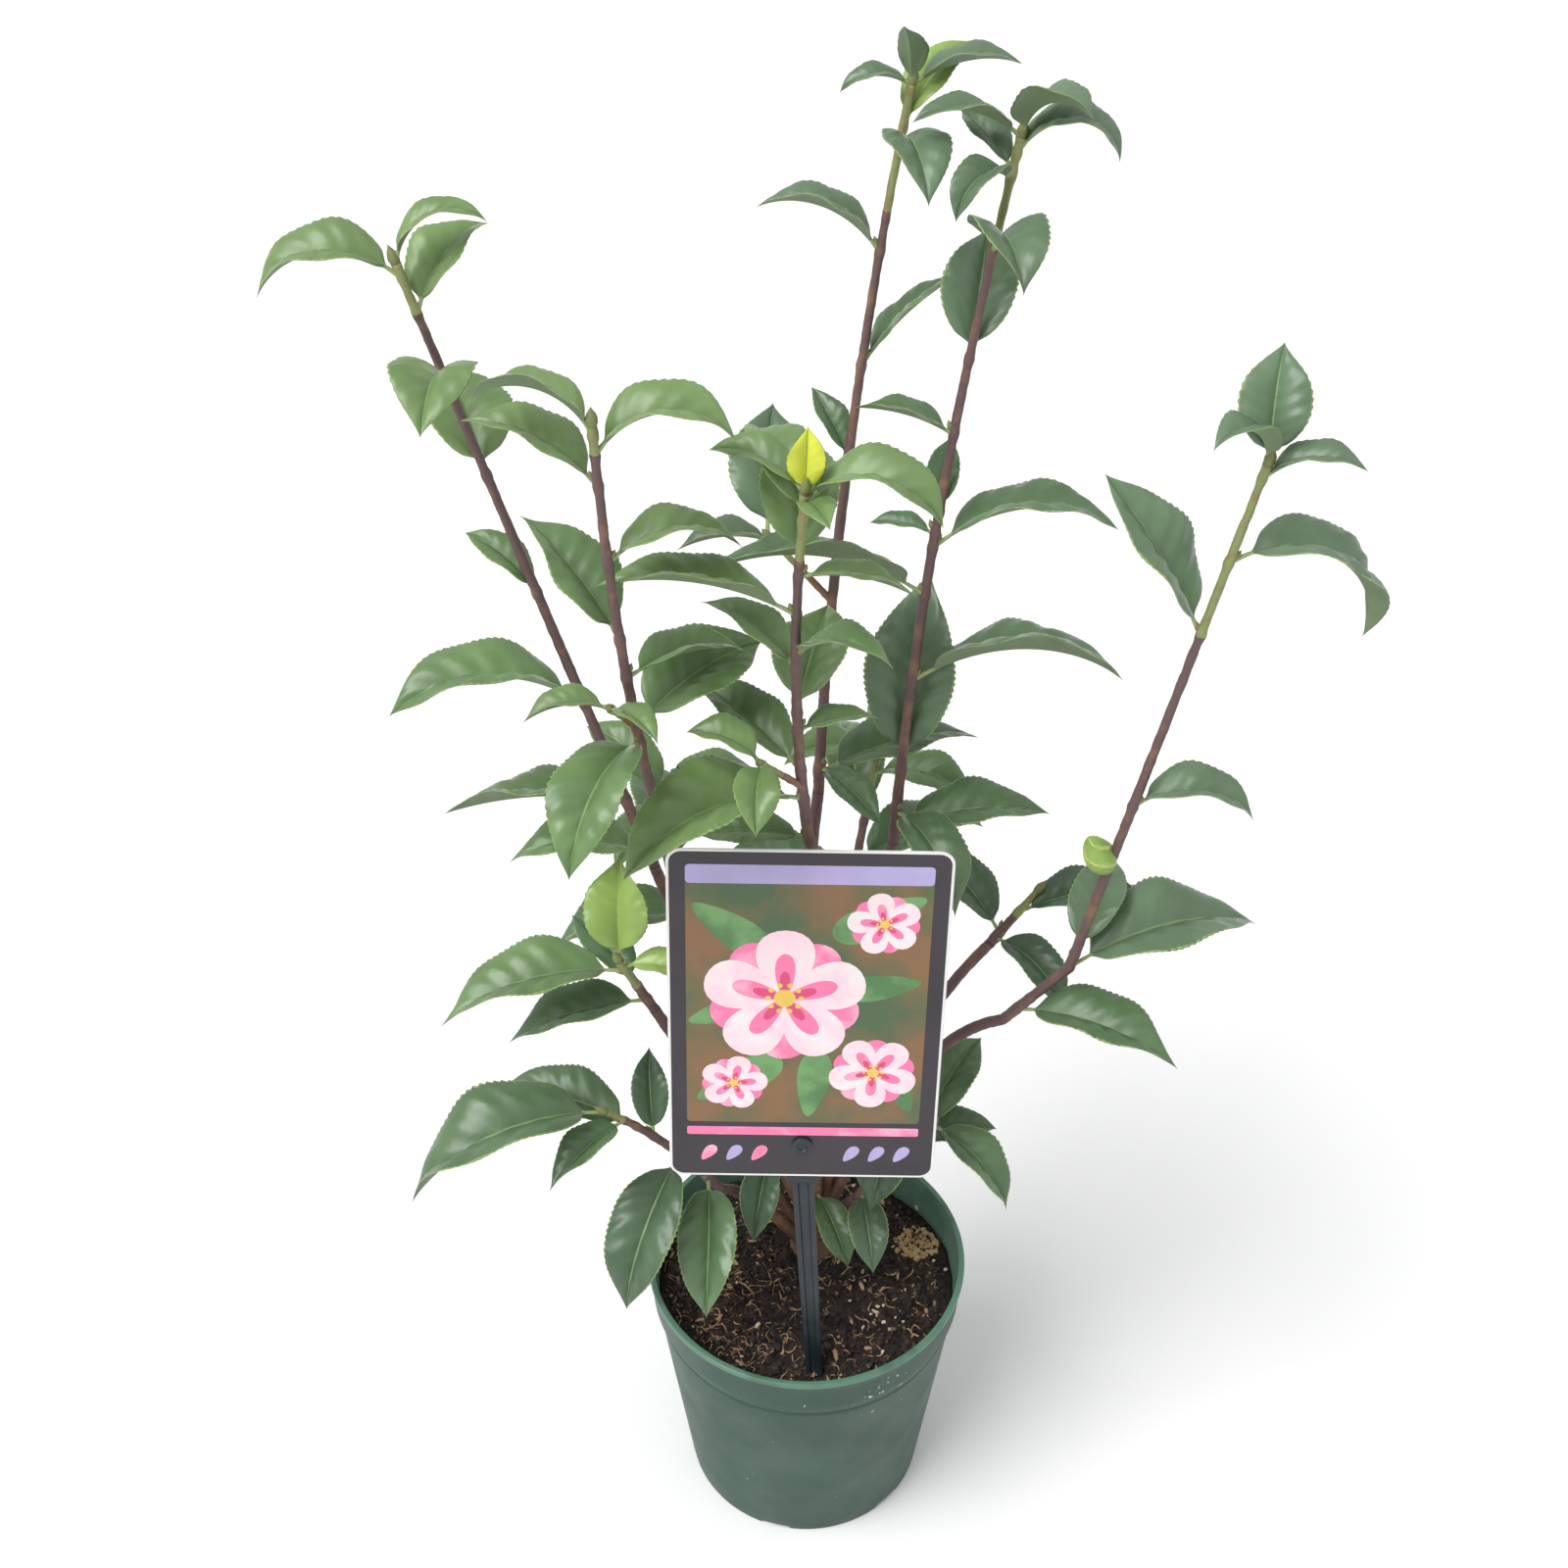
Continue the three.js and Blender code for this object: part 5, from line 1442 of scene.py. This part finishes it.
# Blossoms: middle, length of a petal and angle of the first. Then the four rings of petals: share
# of that length, turn, width, ink and the level of the first.
BLOSSOMS = ((-10, 246, 38, 18), (32, 203, 21, 50), (-33, 196, 16, 5), (34, 288, 17, 30))
PETALS = (
    (0.93, 36, 0.42, "pink", 10), (1, 0, 0.46, "pale", 15),
    (0.66, 0, 0.24, "pink", 20), (0.4, 0, 0.2, "deep_pink", 25),
)
HEART_RADIUS, HEART_LEVEL = 0.13, 31
STAMENS, STAMEN_RING, STAMEN_RADIUS, STAMEN_LEVEL = 10, 0.2, 0.035, 30
# The row of loose petals under the picture: height, length, angle and width, then places and inks.
LOOSE = (148, 11, 55, 0.34)
LOOSE_PETALS = {-48: "pink", -36: "lilac", -24: "pink", 20: "lilac", 32: "lilac", 44: "lilac"}
PIN_ROWS = 70
PIN_FRONT = -0.3
PIN_FLUTE = 1.1
STUD = (
    (1, 0.9), (KNOB_HEAD_RADIUS, 1.3), (KNOB_HEAD_RADIUS, 2.2), (KNOB_HEAD_RADIUS - 0.8, 2.75),
    (2.6, 2.8), (2.2, 2.2), (0.5, 2.2),
)
STUD_SIDES = 40
COLLAR = (-7.5, 9, CARD_BOTTOM - 4.5, CARD_BOTTOM - 0.6, 0.8)
COLLAR_TOP = 0.7
SLATE = ("pin_slate", "pin", "pin_worn", 0.42, (60, 0.45, 0.75), (260, 0.15, 0.0003), (0.07, 60))


def card_outline(inset):
    """The card's rounded outline drawn in by an inset."""
    side, corner = CARD_WIDTH / 2 - inset, CARD_CORNER - inset
    return rounded_box(-side, side, CARD_BOTTOM + inset, CARD_TOP - inset, corner)


def pin_rings():
    """Rings of the pin: a fluted bar whose section is scaled by its half width, which grows evenly
    from foot to card and narrows to a point in the soil, about a middle line that slants to the
    card's middle."""
    y = np.linspace(-PIN_DEPTH - 3.5, KNOB_HEIGHT + 8, PIN_ROWS)
    share = np.clip((y + PIN_DEPTH) / (KNOB_HEIGHT - 12 + PIN_DEPTH), 0, 1)
    half = PIN_WIDTHS[0] / 2 + (PIN_WIDTHS[1] - PIN_WIDTHS[0]) / 2 * share
    half = half * np.clip((y + PIN_DEPTH + 4) / 8, 0.06, 1)
    front, back = PIN_FRONT, PIN_FRONT - PIN_THICKNESS
    section = np.array([
        (1, back + 0.5), (1, front - 0.5), (0.88, front), (0.5, front), (0.38, front - PIN_FLUTE),
        (-0.38, front - PIN_FLUTE), (-0.5, front), (-0.88, front), (-1, front - 0.5),
        (-1, back + 0.5), (-0.88, back), (0.88, back),
    ])[::-1]
    x = (PIN_FOOT_OFFSET * (1 - share))[:, None] + half[:, None] * section[:, 0]
    return np.stack([x, *(np.broadcast_to(v, x.shape) for v in (y[:, None], section[:, 1]))], -1)


class CAMELLIA_OT_print_label(bpy.types.Operator):
    """Make the card with its wordless picture of blossoms, and the pin with its stud"""

    bl_idname = "camellia.print_label"
    bl_label = "Print Label"

    def execute(self, context):
        look = context.scene.camellia_label
        card = Pile()
        insets, heights = zip(*CARD_LAYERS)
        rings = layers([card_outline(inset) for inset in insets], heights)
        edge, face = range(2)
        card.add(*stood(rings), edge, np.repeat([edge, face], rings.shape[1]))
        put_mesh(
            "label_card_body", card, finishes(look, CARD_FINISHES), ["label_card"],
            smooth=False,
        )

        prints = Pile()

        def plate(shape, ink, level):
            """Prints a flat shape on the card, one ink layer thick for each level up to its own."""
            heights = (CARD_THICKNESS - INK_SUNK, CARD_THICKNESS + INK_LAYER * level)
            prints.add(*stood(layers([shape, shape], heights)), list(INKS).index(ink))

        for bottom, top, corner, ink, level in PANELS:
            plate(rounded_box(-PICTURE_SIDE, PICTURE_SIDE, bottom, top, corner), ink, level)
        for i, (x, y, size, angle) in enumerate(SPRAY):
            plate(petal(x, y, size, angle, SPRAY_WIDTH), "leaf", SPRAY_LEVEL + i)
        for x, y, size, first in BLOSSOMS:
            for i in range(5):
                for share, turn, width, ink, level in PETALS:
                    plate(petal(x, y, size * share, first + 72 * i + turn, width), ink, level + i)
            plate(disc(x, y, size * HEART_RADIUS), "yellow", HEART_LEVEL)
            for a in np.arange(STAMENS) * 2 * np.pi / STAMENS:
                at = x + size * STAMEN_RING * np.cos(a), y + size * STAMEN_RING * np.sin(a)
                plate(disc(*at, size * STAMEN_RADIUS, 10), "yellow", STAMEN_LEVEL)
        for x, ink in LOOSE_PETALS.items():
            plate(petal(x, *LOOSE), ink, 1)
        rows = [
            (f"ink_{name}", first, second, INK_ROUGHNESS, patches, INK_GRAIN, None, INK_COAT)
            for name, (first, second, patches) in INKS.items()
        ]
        put_mesh(
            "label_print", prints, finishes(look, rows), ["label_card"], smooth=False
        )

        pin = Pile()
        pin.add(*stood(pin_rings()))
        pin.add(*stood(turned(STUD, STUD_SIDES) + [0, KNOB_HEIGHT, 0]))
        collar = rounded_box(*COLLAR)
        pin.add(*stood(layers([collar, collar], (PIN_FRONT - PIN_THICKNESS - 0.2, COLLAR_TOP))))
        put_mesh(
            "label_pin_body", pin, finishes(look, [SLATE]), ["label_pin"], smooth=False
        )
        return {"FINISHED"}


# ---- stage --------------------------------------------------------------------------------------


# Sizes of the stage are metres.
FLOOR_REACH = 40
BACKDROP_COLOUR = (0.97, 0.98, 1, 1)
# Suns by the name of their strength: where they shine from, and how many degrees across they are.
SUNS = {"key": ((-1.3, -0.9, 2.2), 40), "fill": ((1.6, -0.4, 1.5), 50)}
CAMERA_AT = (-0.012, -0.722, 1.036)
CAMERA_TILT = 52.3
CAMERA_LENS, CAMERA_SENSOR = 47.25, 36


class CAMELLIA_OT_set_stage(bpy.types.Operator):
    """Lay a plain pale floor and set the soft lights and the camera"""

    bl_idname = "camellia.set_stage"
    bl_label = "Set Stage"

    def execute(self, context):
        scene = context.scene
        look = scene.camellia_stage
        mesh = bpy.data.meshes.new("floor")
        r = FLOOR_REACH
        mesh.from_pydata([(-r, -r, 0), (r, -r, 0), (r, r, 0), (-r, r, 0)], [], [(0, 1, 2, 3)])
        paper = finish("floor_paper", look.floor, look.floor, 0.8, grain=(40, 0.02, 0.0005))
        mesh.materials.append(paper)
        floor = bpy.data.objects.new("floor", mesh)
        scene.collection.objects.link(floor)

        world = bpy.data.worlds.new("studio")
        world.use_nodes = True
        tree = world.node_tree
        backdrop = tree.nodes["Background"]
        backdrop.inputs["Color"].default_value = BACKDROP_COLOUR
        seen = tree.nodes.new("ShaderNodeLightPath").outputs["Is Camera Ray"]
        tree.links.new(between(tree, seen, 0, 1, look.sky, look.backdrop), backdrop.inputs["Strength"])
        scene.world = world

        for name, (place, spread) in SUNS.items():
            data = bpy.data.lights.new(name, "SUN")
            data.energy, data.angle = getattr(look, name), np.radians(spread)
            light = bpy.data.objects.new(name, data)
            light.location = place
            light.rotation_euler = (-Vector(place)).to_track_quat("-Z", "Y").to_euler()
            scene.collection.objects.link(light)
        camera = bpy.data.objects.new("camera", bpy.data.cameras.new("camera"))
        camera.data.lens, camera.data.sensor_width = CAMERA_LENS, CAMERA_SENSOR
        camera.location = CAMERA_AT
        camera.rotation_euler = (np.radians(CAMERA_TILT), 0, 0)
        scene.collection.objects.link(camera)
        scene.camera = camera
        scene.view_settings.view_transform = "Standard"
        return {"FINISHED"}


# ---- add-on -------------------------------------------------------------------------------------

OPERATORS = (
    CAMELLIA_OT_grow_leaves,
    CAMELLIA_OT_grow_wood,
    CAMELLIA_OT_grow_buds,
    CAMELLIA_OT_turn_pot,
    CAMELLIA_OT_fill_soil,
    CAMELLIA_OT_print_label,
    CAMELLIA_OT_set_stage,
)

SETTINGS = {
    "camellia_leaves": CamelliaLeafSettings,
    "camellia_bark": CamelliaBarkSettings,
    "camellia_pot": CamelliaPotSettings,
    "camellia_soil": CamelliaSoilSettings,
    "camellia_label": CamelliaLabelSettings,
    "camellia_stage": CamelliaStageSettings,
}


class CAMELLIA_PT_sidebar(bpy.types.Panel):
    """Lists the operators and their settings"""

    bl_idname = "CAMELLIA_PT_sidebar"
    bl_label = "Potted Camellia"
    bl_space_type = "VIEW_3D"
    bl_region_type = "UI"
    bl_category = "Camellia"

    def draw(self, context):
        for operator in OPERATORS:
            self.layout.operator(operator.bl_idname)
        for name, group in SETTINGS.items():
            box = self.layout.box()
            box.label(text=group.__doc__)
            for key in group.__annotations__:
                box.prop(getattr(context.scene, name), key)


CLASSES = (*SETTINGS.values(), *OPERATORS, CAMELLIA_PT_sidebar)


def register():
    """Registers the classes and hangs each group of settings on the scene."""
    for each in CLASSES:
        bpy.utils.register_class(each)
    for name, group in SETTINGS.items():
        setattr(bpy.types.Scene, name, PointerProperty(type=group))


def unregister():
    """Takes the settings off the scene and the classes out again."""
    for name in SETTINGS:
        delattr(bpy.types.Scene, name)
    for each in reversed(CLASSES):
        bpy.utils.unregister_class(each)


def main():
    """Registers the add-on and makes every piece in order."""
    register()
    for operator in OPERATORS:
        group, name = operator.bl_idname.split(".")
        getattr(getattr(bpy.ops, group), name)()


if __name__ == "__main__":
    main()
